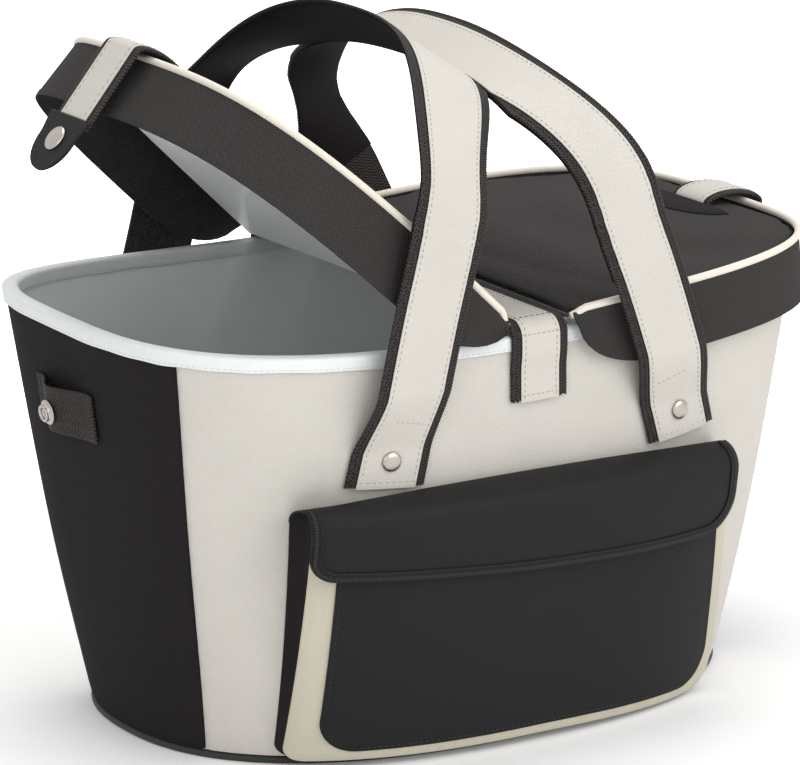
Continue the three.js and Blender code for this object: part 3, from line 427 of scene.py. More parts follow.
def lay_map(mesh, places):
    """Writes the map called cloth, in metres, from one place for each point."""
    layer = mesh.uv_layers.get("cloth") or mesh.uv_layers.new(name="cloth")
    corner = np.zeros(len(mesh.loops), np.int32)
    mesh.loops.foreach_get("vertex_index", corner)
    layer.data.foreach_set("uv", places[corner].astype(np.float32).ravel())


def mesh_object(name, points, faces, cloth_map=None, finish=None, smooth_angle=55):
    mesh = bpy.data.meshes.new(name)
    mesh.from_pydata((points * MM).tolist(), [], faces if isinstance(faces, list) else faces.tolist())
    if cloth_map is not None:
        lay_map(mesh, cloth_map * MM)
    clean(mesh)
    mesh.shade_smooth()
    mesh.set_sharp_from_angle(angle=np.radians(smooth_angle))
    if finish is not None:
        mesh.materials.append(finish)
    return linked(name, mesh)


def thin_body(name, surface, us, vs, low, high, finish, loop=False, strap=False,
        rounded=(True, True, True, True), open_inner=None):
    """us and vs are counts or places. A strap's map is straight, and a loop's last row is its first."""
    us, vs = [np.linspace(0, 1, s) if np.isscalar(s) else np.asarray(s, float) for s in (us, vs)]
    rounded = (False, False, *rounded[2:]) if loop else rounded
    top, bottom, along, across = sheet_grid(surface, us, vs, low, high, rounded, open_inner)
    rows, columns = top.shape[:2]
    if strap:
        along = along[:, [columns // 2]] + 0 * along
    cloth_map = np.stack([along - along[rows // 2], across - across[:, [columns // 2]]], -1)
    if loop:
        top, bottom, cloth_map = top[:-1], bottom[:-1], cloth_map[:-1]
        rows -= 1
    points = np.concatenate([top.reshape(-1, 3), bottom.reshape(-1, 3)])
    cloth_map = np.tile(cloth_map.reshape(-1, 2), (2, 1))
    return mesh_object(name, points, shell_faces(rows, columns, loop), cloth_map, finish)


print("points closer than", MERGE * 1000, "mm are merged")


# %% [markdown]
# ## Putting pieces on the bag
#
# Each piece is tied to a body of the frame and stands for one or more CAD nodes. One function
# says both, so that no piece that it places is left riding on nothing.

# %% Placing
made_pieces = []


def place(piece, body, stands_for=(), slot=None):
    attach(piece, body)
    if stands_for:
        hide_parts(*([stands_for] if isinstance(stands_for, str) else stands_for))
    made_pieces.append(piece.name)
    return piece


# %% Small helpers for rules
def lerp(a, b, t):
    return a + (b - a) * t


def ease(x, start, end):
    t = np.clip((x - start) / (end - start), 0, 1)
    return t * t * (3 - 2 * t)


def xyz(x, y, z):
    return np.stack(np.broadcast_arrays(x, y, z), -1).astype(float)


def unit(ways):
    return ways / np.linalg.norm(ways, axis=-1, keepdims=True)


print("ease runs", [round(float(ease(x, 0, 4)), 2) for x in range(5)])


# %% [markdown]
# ## The tub's rule
#
# In plan the tub is a superellipse, fuller at the rim than at the foot, and the rim climbs a
# little towards the two ends. Real cloth over soft foam never follows such a rule exactly: it
# sags between its seams. A sum of slow waves round the wall, strongest at half height, adds that
# sag, and the foam and liner behind the cloth take the same waves so that nothing pokes through.

# %% Tub surface
def superellipse(length, depth, power, angle):
    c, s = np.cos(angle), np.sin(angle)
    x = length * np.sign(c) * np.abs(c) ** (2 / power)
    return x, depth * np.sign(s) * np.abs(s) ** (2 / power)


def outline(share, lift=0.0):
    swell = BULGE * np.sin(np.pi * np.clip(share, 0, 1)) + lift
    return (lerp(FOOT["length"], RIM["length"], share) + swell,
        lerp(FOOT["depth"], RIM["depth"], share) + swell, lerp(FOOT["power"], RIM["power"], share))


def tub(angle, share, lift):
    length, depth, power = outline(share, lift)
    x, y = superellipse(length, depth, power, angle)
    return xyz(x, y, RIM_HEIGHT * share * (1 + RIM_RISE / RIM_HEIGHT * (x / length) ** 2))


# Each wave has a count round the wall and a phase, then a count up the wall and a phase
waves = np.random.default_rng(7)
SAG_WAVES = [(waves.integers(2, 9), waves.uniform(0, 6.28), waves.uniform(2, 7),
    waves.uniform(0, 6.28)) for _ in range(9)]


def sag(angle, share):
    total = sum(np.cos(k * angle + p) * np.sin(f * share + q) for k, p, f, q in SAG_WAVES) / 3
    ends = 0.6 + 0.9 * np.abs(np.cos(angle)) ** 3
    return ends * np.sin(np.pi * np.clip(share, 0, 1)) * (total - 0.7)


def wall_y(x, z):
    """How far the long wall stands out at a place, without its sag."""
    share = z / RIM_HEIGHT
    for _ in range(3):
        share = z / (RIM_HEIGHT * (1 + RIM_RISE / RIM_HEIGHT * (x / outline(share)[0]) ** 2))
    length, depth, power = outline(share)
    return depth * (1 - np.minimum(1, np.abs(x) / length) ** power) ** (1 / power)


def wall_x(y, z):
    """The same for an end wall, whose rim is the higher one."""
    length, depth, power = outline(z / (RIM_HEIGHT + RIM_RISE))
    return length * (1 - np.minimum(1, np.abs(y) / depth) ** power) ** (1 / power)


print("front wall at half height:", round(float(wall_y(0, RIM_HEIGHT / 2)), 1), "mm from the middle")


# %% [markdown]
# ## Outer panels
#
# Two long cream panels and two black end panels meet in four seams that lean inwards towards the
# foot. A bag is a lofted shell, so each panel is a stretch of the tub's rule. Where two panels are
# sewn together the cloth is drawn in, so the last few millimetres dip, with small puckers.

# %% Outer panels
FLOOR, RIM_TAPE = 2 * BASE_PIPING + 0.5, 0.8
PANEL_FOOT, PANEL_TOP = FLOOR / RIM_HEIGHT, 1 - (RIM_TAPE + 2 * GAP) / RIM_HEIGHT
SEAM_DIP, SEAM_REACH, FOOT_DIP, FOOT_REACH = 1.1, 2.6, 0.5, 5
PUCKER, PUCKER_REACH, PUCKERS = 0.25, 9, 95
MM_PER_DEGREE, PANEL_HEIGHT = 3.3, 230


def panel_surface(middle, long_side):
    def surface(u, v, lift):
        share = lerp(PANEL_FOOT, PANEL_TOP, v)
        seam = lerp(SEAM_FOOT, SEAM_RIM, share)
        span = 90 - seam if long_side else seam
        angle = np.radians(middle + (2 * u - 1) * (span - 0.1))
        from_seam = (1 - np.abs(2 * u - 1)) * span * MM_PER_DEGREE
        pucker = PUCKER * np.sin(share * PUCKERS + middle) * np.exp(-from_seam / PUCKER_REACH)
        dip = -SEAM_DIP * np.exp(-(from_seam / SEAM_REACH) ** 2) + pucker
        dip -= FOOT_DIP * np.exp(-((v * PANEL_HEIGHT) / FOOT_REACH) ** 2)
        return tub(angle, share, lift + dip + sag(angle, share))
    return surface


for name, middle, long_side, count, finish, slot in (
        ("front_panel", 270, True, 110, cream_canvas, "cream_fabric"),
        ("rear_panel", 90, True, 110, cream_canvas, "cream_fabric"),
        ("left_end_panel", 180, False, 70, black_canvas, "black_fabric"),
        ("right_end_panel", 0, False, 70, black_canvas, "black_fabric")):
    panel = thin_body(f"{name}_cloth", panel_surface(middle, long_side), count, 60, -FABRIC, 0, finish)
    place(panel, "tub", name, slot)
print("outer panels:", made_pieces)

# %% [markdown]
# ## Base, foam and liner
#
# Behind the cloth a sheet of foam keeps the cold in, and a welded film liner keeps melt water in.
# Both are cups, made as one grid of rings that goes from the middle of the floor up the outer face
# and back down the inner one. The foam is hidden but present, and the liner's film crumples a
# little. Below them lie a stiff board and the base's own cloth, which are flat plates.

# %% Foam and liner cups
CUP_COLUMNS, CUP_LEVELS, FLOOR_RINGS = 120, 26, (0.02, 0.25, 0.5, 0.7, 0.85, 0.95)


def cup(name, face, thickness, floor, finish, crumple=0.0):
    around = np.linspace(0, 2 * np.pi, CUP_COLUMNS + 1)[:-1]

    def wall(share, lift):
        rough = crumple * (np.sin(9 * around + 22 * share) * np.sin(5 * around - 31 * share + 1) - 0.3)
        return tub(around, share, lift + sag(around, share) - rough * np.sin(np.pi * share))

    def disc(z, lift, share):
        rim = wall(share, lift)
        rim[:, 2] = z
        return [np.concatenate([rim[:, :2] * r, rim[:, 2:]], 1) for r in FLOOR_RINGS] + [rim]

    def side(z, lift):
        levels = np.linspace(z / RIM_HEIGHT, PANEL_TOP, CUP_LEVELS)
        return disc(z, lift, levels[0]) + [wall(s, lift) for s in levels[1:]]
    rings = np.array(side(floor, -face) + side(floor + thickness, -face - thickness)[::-1])
    rows, columns = rings.shape[:2]
    quads = grid_faces(rows, columns, close_columns=True)[:, [0, 3, 2, 1]].tolist()
    last = (rows - 1) * columns
    caps = [list(range(columns))[::-1], list(range(last, last + columns))]
    return mesh_object(name, rings.reshape(-1, 3), quads + caps, None, finish, smooth_angle=60)


foam = place(cup("wall_foam_pad", FOAM_FACE, FOAM, FLOOR, foam_sheet), "tub", "wall_foam", "foam")
liner = cup("liner_film", LINER_FACE, LINER, FLOOR + FOAM + INNER_GAP, liner_film, crumple=0.9)
place(liner, "tub", "liner", "white_lining")
print("cups of", len(foam.data.vertices), "points each")


# %% Base panel and board
def base_plate(name, inset, low, high, finish):
    def surface(u, v, lift):
        x, y = superellipse(*outline(0, -inset), 2 * np.pi * u)
        return xyz(x * v, y * v, lift)
    return thin_body(name, surface, 97, np.linspace(0.02, 1, 12), low, high, finish, loop=True)


base = base_plate("base_cloth", 1 + BASE_PIPING + GAP, 0.1, FABRIC, black_canvas)
place(base, "tub", "base_panel", "black_fabric")
board = base_plate("base_stiffener", 6, FABRIC + GAP, 4, grey_board)
place(board, "tub", "base_board", "board")
print("base plates:", base.name, "and", board.name)

# %% [markdown]
# ## Rim binding
#
# A white tape is folded over the raw edges of cloth, foam and liner and sewn through. Its section
# is a U, swept round the rim. The tape is a soft film pressed flat by its seam, so the U is nearly
# square, and its two lower edges wander a little.

# %% Rim binding
SQUARE, HEM_SHARE, TAPE_HALF = 0.6, 0.36, 0.35
TAPE_TURN, TAPE_HEM, TAPE_WANDER, TAPE_ROLL = 2.4, 8, 0.35, 0.12


def rim_point(around, section_u):
    """Place on the folded tape: section_u runs 0 at the outer hem, 0.5 on the rim, 1 at the inner hem."""
    half = (WALL + 2 * INNER_GAP + RIM_TAPE) / 2 + 0.15
    bend = np.clip((section_u - HEM_SHARE) / (1 - 2 * HEM_SHARE), 0, 1) * np.pi
    outward = -WALL / 2 + half * np.sign(np.cos(bend)) * np.abs(np.cos(bend)) ** SQUARE
    hem = np.where(section_u < 0.5, section_u, 1 - section_u) / HEM_SHARE
    low = TAPE_HEM + TAPE_WANDER * np.sin(23 * around) * np.sin(7 * around + 1)
    over = TAPE_TURN * (1 - np.sin(bend) ** SQUARE)
    down = np.where(np.abs(section_u - 0.5) < 0.5 - HEM_SHARE, over, lerp(low, TAPE_TURN, hem))
    roll = TAPE_ROLL * np.sin(np.clip(hem, 0, 1) * np.pi) * np.where(section_u < 0.5, 1, -1)
    return 1 + (0.45 - down) / RIM_HEIGHT, outward + roll


def rim_surface(u, v, lift):
    around = 2 * np.pi * u + 0 * v
    share, outward = rim_point(around, v + 0 * u)
    ahead_share, ahead_out = rim_point(around, v + 0 * u + 0.01)
    tangent = unit(np.stack([ahead_out - outward, (ahead_share - share) * RIM_HEIGHT], -1))
    out, rise = outward + tangent[..., 1] * lift, share - tangent[..., 0] * lift / RIM_HEIGHT
    return tub(around, rise, out)


rim = thin_body("rim_tape", rim_surface, 241, 33, -TAPE_HALF, TAPE_HALF, rim_tape, loop=True)
place(rim, "tub", "rim_binding", "white_lining")
print("rim tape covers", round(WALL, 1), "mm of cloth, foam and liner")

# %% [markdown]
# ## Sewing and edging by node tree
#
# Stitches, the leaning yarns on a webbing's edge and the ribs of a bound hem are all small beads
# set out along a path. Copying beads by hand would be slow to change, so one tree does it: it
# takes a path with the direction that its beads face, spaces points along it and puts a bead on
# each, turned to the path and the surface. Pitch, size and slant are named inputs. A second tree
# sweeps a round section along a path, for the piping cords.

# %% Start and end of a node tree
def new_tree(name, **sizes):
    """A tree that takes a path, named sizes and a finish. Returns it with its input sockets."""
    tree = bpy.data.node_groups.new(name, "GeometryNodeTree")
    face = tree.interface
    face.new_socket("Geometry", in_out="INPUT", socket_type="NodeSocketGeometry")
    for label, default in sizes.items():
        kind = "NodeSocketInt" if isinstance(default, int) else "NodeSocketFloat"
        face.new_socket(label, in_out="INPUT", socket_type=kind).default_value = default
    face.new_socket("Finish", in_out="INPUT", socket_type="NodeSocketMaterial")
    face.new_socket("Geometry", in_out="OUTPUT", socket_type="NodeSocketGeometry")
    return tree, add(tree, "NodeGroupInput").outputs


def end_tree(tree, geometry, finish):
    real = add(tree, "GeometryNodeRealizeInstances", {0: geometry})
    smooth = add(tree, "GeometryNodeSetShadeSmooth", {0: real.outputs[0]})
    finished = add(tree, "GeometryNodeSetMaterial", {0: smooth.outputs[0], "Material": finish})
    add(tree, "NodeGroupOutput", {0: finished.outputs[0]})
    return tree


print("each tree ends in Realize Instances, Set Shade Smooth and Set Material")


# %% Node tree that sews beads along a path
def sewing_tree():
    tree, inputs = new_tree("beads_along_path", Pitch=0.004, Length=0.003, Width=0.0007,
        Height=0.0005, Slant=0.0, Unevenness=0.08)
    path = add(tree, "GeometryNodeMeshToCurve", {0: inputs["Geometry"]})
    spaced = add(tree, "GeometryNodeResampleCurve", {"Curve": path.outputs[0],
        "Length": inputs["Pitch"]}, mode="LENGTH")
    bead = add(tree, "GeometryNodeMeshUVSphere", {"Segments": 6, "Rings": 4, "Radius": 0.5})
    tangent = add(tree, "GeometryNodeInputTangent")
    facing = add(tree, "GeometryNodeInputNamedAttribute", {"Name": "facing"},
        data_type="FLOAT_VECTOR")
    along = add(tree, "FunctionNodeAlignRotationToVector", {"Vector": tangent.outputs[0]}, axis="X")
    square = add(tree, "FunctionNodeAlignRotationToVector", {"Rotation": along.outputs[0],
        "Vector": facing.outputs[0]}, axis="Z", pivot_axis="X")
    slant = add(tree, "ShaderNodeCombineXYZ", {2: inputs["Slant"]})
    tilt = add(tree, "FunctionNodeEulerToRotation", {0: slant.outputs[0]})
    leaned = add(tree, "FunctionNodeRotateRotation", {0: square.outputs[0], 1: tilt.outputs[0]},
        rotation_space="LOCAL")
    size = add(tree, "ShaderNodeCombineXYZ", {0: inputs["Length"], 1: inputs["Width"],
        2: inputs["Height"]})
    least = add(tree, "ShaderNodeMath", {0: 1.0, 1: inputs["Unevenness"]}, operation="SUBTRACT")
    luck = add(tree, "FunctionNodeRandomValue", {2: least.outputs[0], 3: 1.0, "Seed": 11},
        data_type="FLOAT")
    scaled = add(tree, "ShaderNodeVectorMath", {0: size.outputs[0], 3: luck.outputs[1]},
        operation="SCALE")
    sewn = add(tree, "GeometryNodeInstanceOnPoints", {"Points": spaced.outputs[0],
        "Instance": bead.outputs[0], "Rotation": leaned.outputs[0], "Scale": scaled.outputs[0]})
    return end_tree(tree, sewn.outputs[0], inputs["Finish"])


BEADS = sewing_tree()
print(BEADS.name, "has", len(BEADS.nodes), "nodes")


# %% Node tree that runs a round cord along a path
def piping_tree():
    tree, inputs = new_tree("cord_along_path", Radius=0.002, Sides=16)
    path = add(tree, "GeometryNodeMeshToCurve", {0: inputs["Geometry"]})
    round_section = add(tree, "GeometryNodeCurvePrimitiveCircle", {"Resolution": inputs["Sides"],
        "Radius": inputs["Radius"]})
    tube = add(tree, "GeometryNodeCurveToMesh", {"Curve": path.outputs[0],
        "Profile Curve": round_section.outputs[0], "Fill Caps": True})
    return end_tree(tree, tube.outputs[0], inputs["Finish"])


CORD = piping_tree()
print(CORD.name, "has", len(CORD.nodes), "nodes")


# %% Running a tree on paths and baking it
def run_tree(name, paths, tree, values):
    """paths are (points, facings, closed) in mm. The result is one plain mesh object."""
    points, edges, facings = [], [], []
    for line, facing, closed in paths:
        start, count = len(points), len(line)
        points += (np.asarray(line) * MM).tolist()
        facings.append(np.asarray(facing))
        edges += [(start + i, start + (i + 1) % count) for i in range(count if closed else count - 1)]
    mesh = bpy.data.meshes.new(name + "_path")
    mesh.from_pydata(points, edges, [])
    layer = mesh.attributes.new("facing", "FLOAT_VECTOR", "POINT")
    layer.data.foreach_set("vector", np.concatenate(facings).astype(np.float32).ravel())
    carrier = linked(name + "_path", mesh)
    modifier = carrier.modifiers.new("work", "NODES")
    modifier.node_group = tree
    for item in tree.interface.items_tree:
        if item.in_out == "INPUT" and item.name in values:
            modifier[item.identifier] = values[item.name]
    graph = bpy.context.evaluated_depsgraph_get()
    result = bpy.data.meshes.new_from_object(carrier.evaluated_get(graph))
    carrier.modifiers.remove(modifier)
    bpy.data.objects.remove(carrier)
    result.name = name
    return linked(name, result)


print("inputs for beads:", [item.name for item in BEADS.interface.items_tree if item.in_out == "INPUT"])


# %% Rows of stitches, woven edges and cords
HALF_MM = 0.5


def row(surface, us, vs, lift, closed=False):
    """Path of a seam on a surface rule, with the way its beads face."""
    us, vs = np.broadcast_arrays(np.asarray(us, float), np.asarray(vs, float))
    facing = unit(surface(us, vs, lift + HALF_MM) - surface(us, vs, lift - HALF_MM))
    return surface(us, vs, lift), facing, closed


def beads(name, paths, finish, pitch=3.6, size=(2.5, 0.65, 0.6), slant=0.0):
    """Beads of one size (length, width and height in mm) along every path, as one object."""
    values = {label: mm * MM for label, mm in zip(("Length", "Width", "Height"), size)}
    values.update({"Pitch": pitch * MM, "Slant": slant, "Finish": finish})
    return run_tree(name, paths, BEADS, values)


def stitches(name, paths, finish, body, slot, **how):
    return place(beads(name, paths, finish, **how), body, (), slot)


def woven_edge(name, inner, outer, across=2.9, lean=0.5):
    """Two rows of fine yarns that lean opposite ways, as the last two columns of a webbing do."""
    mesh, both = bpy.data.meshes.new(name), bmesh.new()
    for paths, slant in ((inner, lean), (outer, -lean)):
        piece = beads(name + "_row", paths, edge_yarn, 1.7, (1.2, across, 1.5), slant)
        both.from_mesh(piece.data)
        bpy.data.objects.remove(piece)
    both.to_mesh(mesh)
    both.free()
    mesh.shade_smooth()
    mesh.materials.append(edge_yarn)
    return linked(name, mesh)


def cord_piece(name, line, radius, finish, body, stands_for, slot, closed=False):
    values = {"Radius": radius * MM, "Sides": 16, "Finish": finish}
    piece = run_tree(name, [(line, np.zeros_like(line), closed)], CORD, values)
    clean(piece.data)
    return place(piece, body, stands_for, slot)


rim_facing = row(rim_surface, [0.0], 0.1, 0.4)[1][0]
print("the rim's first stitch faces", [round(float(way), 2) for way in rim_facing])


# %% Stitches round the rim and base piping
fine = np.linspace(0, 1, 241)[:-1]
rim_rows = [row(rim_surface, fine, v, 0.4, closed=True) for v in (0.1, 0.9)]
stitches("rim_stitches", rim_rows, white_thread, "tub", "white_lining", pitch=3.4,
    size=(2.3, 0.55, 0.4))
around = np.linspace(0, 2 * np.pi, 181)[:-1]
base_line = tub(around, 0, -1.0)
base_line[:, 2] = BASE_PIPING
cord_piece("base_piping_cord", base_line, BASE_PIPING, black_piping, "tub", "base_piping",
    "black_fabric", closed=True)
print("pieces so far:", len(made_pieces))

# %% [markdown]
# ## Turned metal
#
# Rivets, snap caps and studs are pressed and turned brass, so they are round about an axis. A
# lathe helper spins a profile of radius and height. Corners of the profile are rounded first by
# cutting each corner twice, which is how a real pressed edge looks.

# %% Lathe
CORNER_CUT = 0.22


def rounded_profile(profile, cuts=2):
    line = np.array(profile, float)
    for _ in range(cuts):
        before, after = line[:-1], line[1:]
        ends = [lerp(before, after, share) for share in (CORNER_CUT, 1 - CORNER_CUT)]
        inner = np.concatenate(ends, 1)
        line = np.concatenate([line[:1], inner.reshape(-1, 2), line[-1:]])
    return line


def turned(name, profile, place_at, axis, finish, segments=40):
    line = rounded_profile(profile)
    axis = Vector(axis).normalized()
    spin = axis.to_track_quat("Z", "Y").to_matrix()
    angles = np.linspace(0, 2 * np.pi, segments + 1)[:-1]
    rings = np.stack([np.outer(line[:, 0], np.cos(angles)), np.outer(line[:, 0], np.sin(angles)),
        np.repeat(line[:, 1:], segments, 1)], -1)
    rings = rings @ np.array(spin).T + np.array(place_at)
    faces = grid_faces(len(line), segments, close_columns=True)[:, [0, 3, 2, 1]]
    return mesh_object(name, rings.reshape(-1, 3), faces, None, finish, smooth_angle=70)


print("a corner becomes", len(rounded_profile([(0, 0), (1, 0), (1, 1)])) - 2, "points")


# %% [markdown]
# ## Handle
#
# Two webbing straps rise from the front, lean together, run side by side over the middle as one
# grip whose sides are folded up, and part again down the rear. The profile seen from the side is
# half a superellipse. A place on a strap is its distance q along that profile and its share of
# the strap's half width, so webbing, cream overlay and lining are one rule at different lifts.
# Each of the four legs spreads, bows and twists in its own way, as a soft handle does.

# %% Sizes of the handle
HANDLE = dict(half=24, bottom=166, leave=187, free=33, spring=306, crest=377, depth=150.8, power=2.4)
LEG_FIELDS = ("spread", "bow", "closing", "twist", "roll", "roll_at", "roll_span")
# By strap (-1 left, 1 right) and by end (-1 front, 1 rear)
LEGS = {(-1, -1): (65, 0.85, 2, -0.04, -0.3, 343, 32), (-1, 1): (64, 1.3, 2.7, 0.1, 0.45, 350, 27),
    (1, -1): (51, 0.8, 2.8, 0.1, -0.15, 335, 40), (1, 1): (36, 1, 6.5, -0.05, -0.6, 322, 48)}
BLEND, GRIP_CENTRE, FOLD, FOLD_REAR = 12, 10, {-1: 0.75, 1: 0.4}, 1.25
ARCH_RISE, HANDLE_END = HANDLE["crest"] - HANDLE["spring"], HANDLE["spring"] - HANDLE["bottom"]
arch_turn = np.linspace(0, np.pi, 721)
arch_y, arch_z = superellipse(HANDLE["depth"], ARCH_RISE, HANDLE["power"], np.pi - arch_turn)
arch_z = np.maximum(0, arch_z)
arch_run = np.concatenate([[0], np.cumsum(np.hypot(np.diff(arch_y), np.diff(arch_z)))])
ARCH = arch_run[-1]
print("handle arch is", round(float(ARCH)), "mm long")


# %% Middle line of a strap
def leg_values(strap, rear):
    pairs = zip(LEG_FIELDS, LEGS[strap, -1], LEGS[strap, 1])
    return {field: np.where(rear, b, f) for field, f, b in pairs}


def below_arch(q):
    return np.maximum(0, np.maximum(-q, q - ARCH))


def bare_centre(strap, q):
    turn_at = np.interp(np.clip(q, 0, ARCH), arch_run, arch_turn)
    below = below_arch(q)
    leg = leg_values(strap, q > ARCH / 2)
    lower = (RIVET_X - leg["spread"]) * (below / (HANDLE["spring"] - RIVET_Z)) ** leg["bow"]
    arch_part = (leg["spread"] - GRIP_CENTRE) * np.abs(np.cos(turn_at)) ** leg["closing"]
    return GRIP_CENTRE + arch_part + lower


def strap_centre(strap, q):
    """The middle line, averaged over a short stretch so that legs and grip meet without a kink."""
    shares = {-2: 1, -1: 2, 0: 3, 1: 2, 2: 1}
    total = sum(n * bare_centre(strap, q + BLEND * i) for i, n in shares.items())
    return total / sum(shares.values())


print("legs stand", [round(float(2 * strap_centre(1, at))) for at in (0, ARCH / 2)], "mm apart")


# %% Surface of a strap
FOOT_SQUARE, SQUARE_OVER = 0.4, 40


def strap_surface(strap, centre, reach, q, lift):
    """Sewn flat on the wall at its feet, free above them, and folded up along the grip."""
    near = np.clip(q, 0, ARCH)
    y, rise = np.interp(near, arch_run, arch_y), np.interp(near, arch_run, arch_z)
    turn_at = np.interp(near, arch_run, arch_turn)
    side = np.where(q > ARCH / 2, 1.0, -1.0)
    leg, z = leg_values(strap, q > ARCH / 2), HANDLE["spring"] + rise - below_arch(q)
    roll = leg["roll"] * np.cos(np.pi / 2 * np.clip((z - leg["roll_at"]) / leg["roll_span"], -1, 1)) ** 2
    across = reach / np.hypot(1, roll)
    twist = side * (leg["twist"] * np.cos(turn_at) ** 2 + roll) * across
    x = centre + across
    sewn = side * (wall_y(x, np.minimum(z, RIM_HEIGHT)) + INNER_GAP)
    ramp = np.clip((z - HANDLE["leave"]) / HANDLE["free"], 0, 1)
    free = lerp(ramp, ease(ramp, 0, 1), 0.35)
    fold = FOLD[strap] * lerp(1, FOLD_REAR, turn_at / np.pi) * x * np.sin(turn_at) ** 4
    bend = HANDLE["power"] - 1
    out_y = side * (np.abs(y) / HANDLE["depth"]) ** bend / HANDLE["depth"]
    out_z = (rise / ARCH_RISE) ** bend / ARCH_RISE
    size = np.hypot(out_y, out_z)
    out = lerp(sewn, y - twist, free) + lift * out_y / size
    return xyz(strap * x, out, z + fold + lift * out_z / size)


def strap_reach(strap, q):
    """Half width across a leaning strap, and how far its ends run with the lean."""
    slope = (strap_centre(strap, q + 1) - strap_centre(strap, q - 1)) / 2
    square = lerp(1, FOOT_SQUARE, ease(below_arch(q), HANDLE_END - SQUARE_OVER, HANDLE_END))
    return HANDLE["half"] * np.hypot(1, slope) / (1 + square * slope ** 2), square * slope


print("half width of a foot:", round(float(strap_reach(1, -HANDLE_END)[0]), 1), "mm")


# %% Layers of a strap
def along_strap(start, u):
    """Distance along the strap of a layer that begins start mm above its cut ends."""
    return lerp(start - HANDLE_END, ARCH + HANDLE_END - start, u)


def strap_rule(strap, edge, middle, start, ripple=0.0):
    """Surface of one layer: v runs from the inner edge, or the trimmed middle, to the outer edge."""
    def surface(u, v, lift):
        q = along_strap(start, u) + 0 * v
        centre = strap_centre(strap, q)
        reach, lean = strap_reach(strap, q)
        inner = np.maximum(-edge, (middle - centre) / reach)
        across = lerp(inner, edge, v) * reach
        middle_share = 1 - ease(np.abs(v - 0.5), 0.2, 0.5)
        wave = ripple * np.sin(q / 17 + strap) * np.sin(q / 41 + 2) * middle_share
        return strap_surface(strap, centre, across, q - lean * across, lift + wave)
    return surface


def handle_layer(name, strap, edge, middle, start, counts, lifts, finish, ripple=0.0):
    """A layer's inner edge stays square where the middle of the grip trims it."""
    def trimmed(u):
        q = along_strap(start, u)
        return (middle - strap_centre(strap, q)) / strap_reach(strap, q)[0] > -edge
    rule = strap_rule(strap, edge, middle, start, ripple)
    return thin_body(name, rule, *counts, *lifts, finish, strap=True, open_inner=trimmed)


print("webbing is cut", round(float(along_strap(0, 1) - along_strap(0, 0)), 1), "mm long")


# %% Handle webbing, overlay and lining
EDGE, SLIT_HALF, COVER_START, LINING_START = 0.75, 0.2, -0.8, 108
overlay_low, overlay_high = WEBBING + GAP, WEBBING + GAP + OVERLAY
for strap, side in SIDES:
    web = handle_layer(f"{side}_handle_strap", strap, 1, SLIT_HALF, 0, (300, 13), (0, WEBBING),
        black_webbing)
    place(web, "tub", f"{side}_handle_webbing", "black_webbing")
    cover = handle_layer(f"{side}_handle_cover", strap, EDGE, 0, COVER_START, (300, 11),
        (overlay_low, overlay_high), cream_canvas, 0.12)
    place(cover, "tub", "handle_overlay", "cream_fabric")
    under = handle_layer(f"{side}_handle_lining", strap, 1, 0, LINING_START, (240, 9),
        (-GAP - FABRIC, -GAP), lining_tape)
    place(under, "tub", "handle_lining", "handle_lining")
print("handle layers:", made_pieces[-6:])


# %% Yarns on the webbing's edges and stitches on the cream
SEAM_CLEAR, SEAM_IN, SEAM_START, THREAD_LIFT = 2.5, 0.085, 3, 0.05
YARNS_IN, YARNS_OUT, YARN_LIFTS = 0.825, 0.945, (1.9, 1.8)


def strap_line(strap, q, share, lift):
    """Points at a share of the strap's half width, and the way that its face looks there."""
    centre, (reach, lean) = strap_centre(strap, q), strap_reach(strap, q)
    across = share * reach
    low, line, high = [strap_surface(strap, centre, across, q - lean * across, lift + step)
        for step in (-HALF_MM, 0, HALF_MM)]
    return line, unit(high - low), centre + across


def strap_row(strap, share, lift, start, ends):
    """Paths along one strap, where the middle of the grip hasn't trimmed it away."""
    line, facing, x = strap_line(strap, np.linspace(start - HANDLE_END + ends,
        ARCH + HANDLE_END - start - ends, 500), share, lift)
    on = x > SEAM_CLEAR if share < 0 else np.ones_like(x, bool)
    cuts = np.flatnonzero(np.diff(on.astype(int))) + 1
    runs = [r for r in np.split(np.arange(len(x)), cuts) if on[r[0]] and len(r) > 5]
    return [(line[r], facing[r], False) for r in runs]


def both_rows(strap, share, lift, start, ends):
    return strap_row(strap, share, lift, start, ends) + strap_row(strap, -share, lift, start, ends)


def cross_row(strap, rear, climb, start, end):
    """Short row of stitches across a foot of a strap, climb mm above its cut end."""
    q = np.full(14, ARCH + HANDLE_END - climb if rear else climb - HANDLE_END)
    line, facing, _ = strap_line(strap, q, np.linspace(start, end, 14), overlay_high)
    return line, facing, False


for strap, side in SIDES:
    inner = both_rows(strap, YARNS_IN, YARN_LIFTS[0], 0, 1)
    outer = both_rows(strap, YARNS_OUT, YARN_LIFTS[1], 0, 1)
    place(woven_edge(f"{side}_handle_edge_ribs", inner, outer), "tub", (), "black_webbing")
    rows = both_rows(strap, EDGE - SEAM_IN, overlay_high + THREAD_LIFT, SEAM_START, 5)
    rows += [cross_row(strap, rear, climb, start, end) for rear in (False, True)
        for climb, start, end in ((3, -0.66, 0.66), (38, -0.5, 0.25))]
    stitches(f"{side}_handle_stitches", rows, cream_thread, "tub", "cream_fabric")
    print(side, "handle strap has", len(rows), "rows of stitches")


# %% Rivets
def rivet_place(strap, side):
    """A rivet's foot on the wall and the way that the wall faces there."""
    x, z = strap * RIVET_X, RIVET_Z
    slope_x = (wall_y(x + 1, z) - wall_y(x - 1, z)) / 2
    slope_z = (wall_y(x, z + 1) - wall_y(x, z - 1)) / 2
    return (x, side * wall_y(x, z), z), (-slope_x, side, -slope_z)


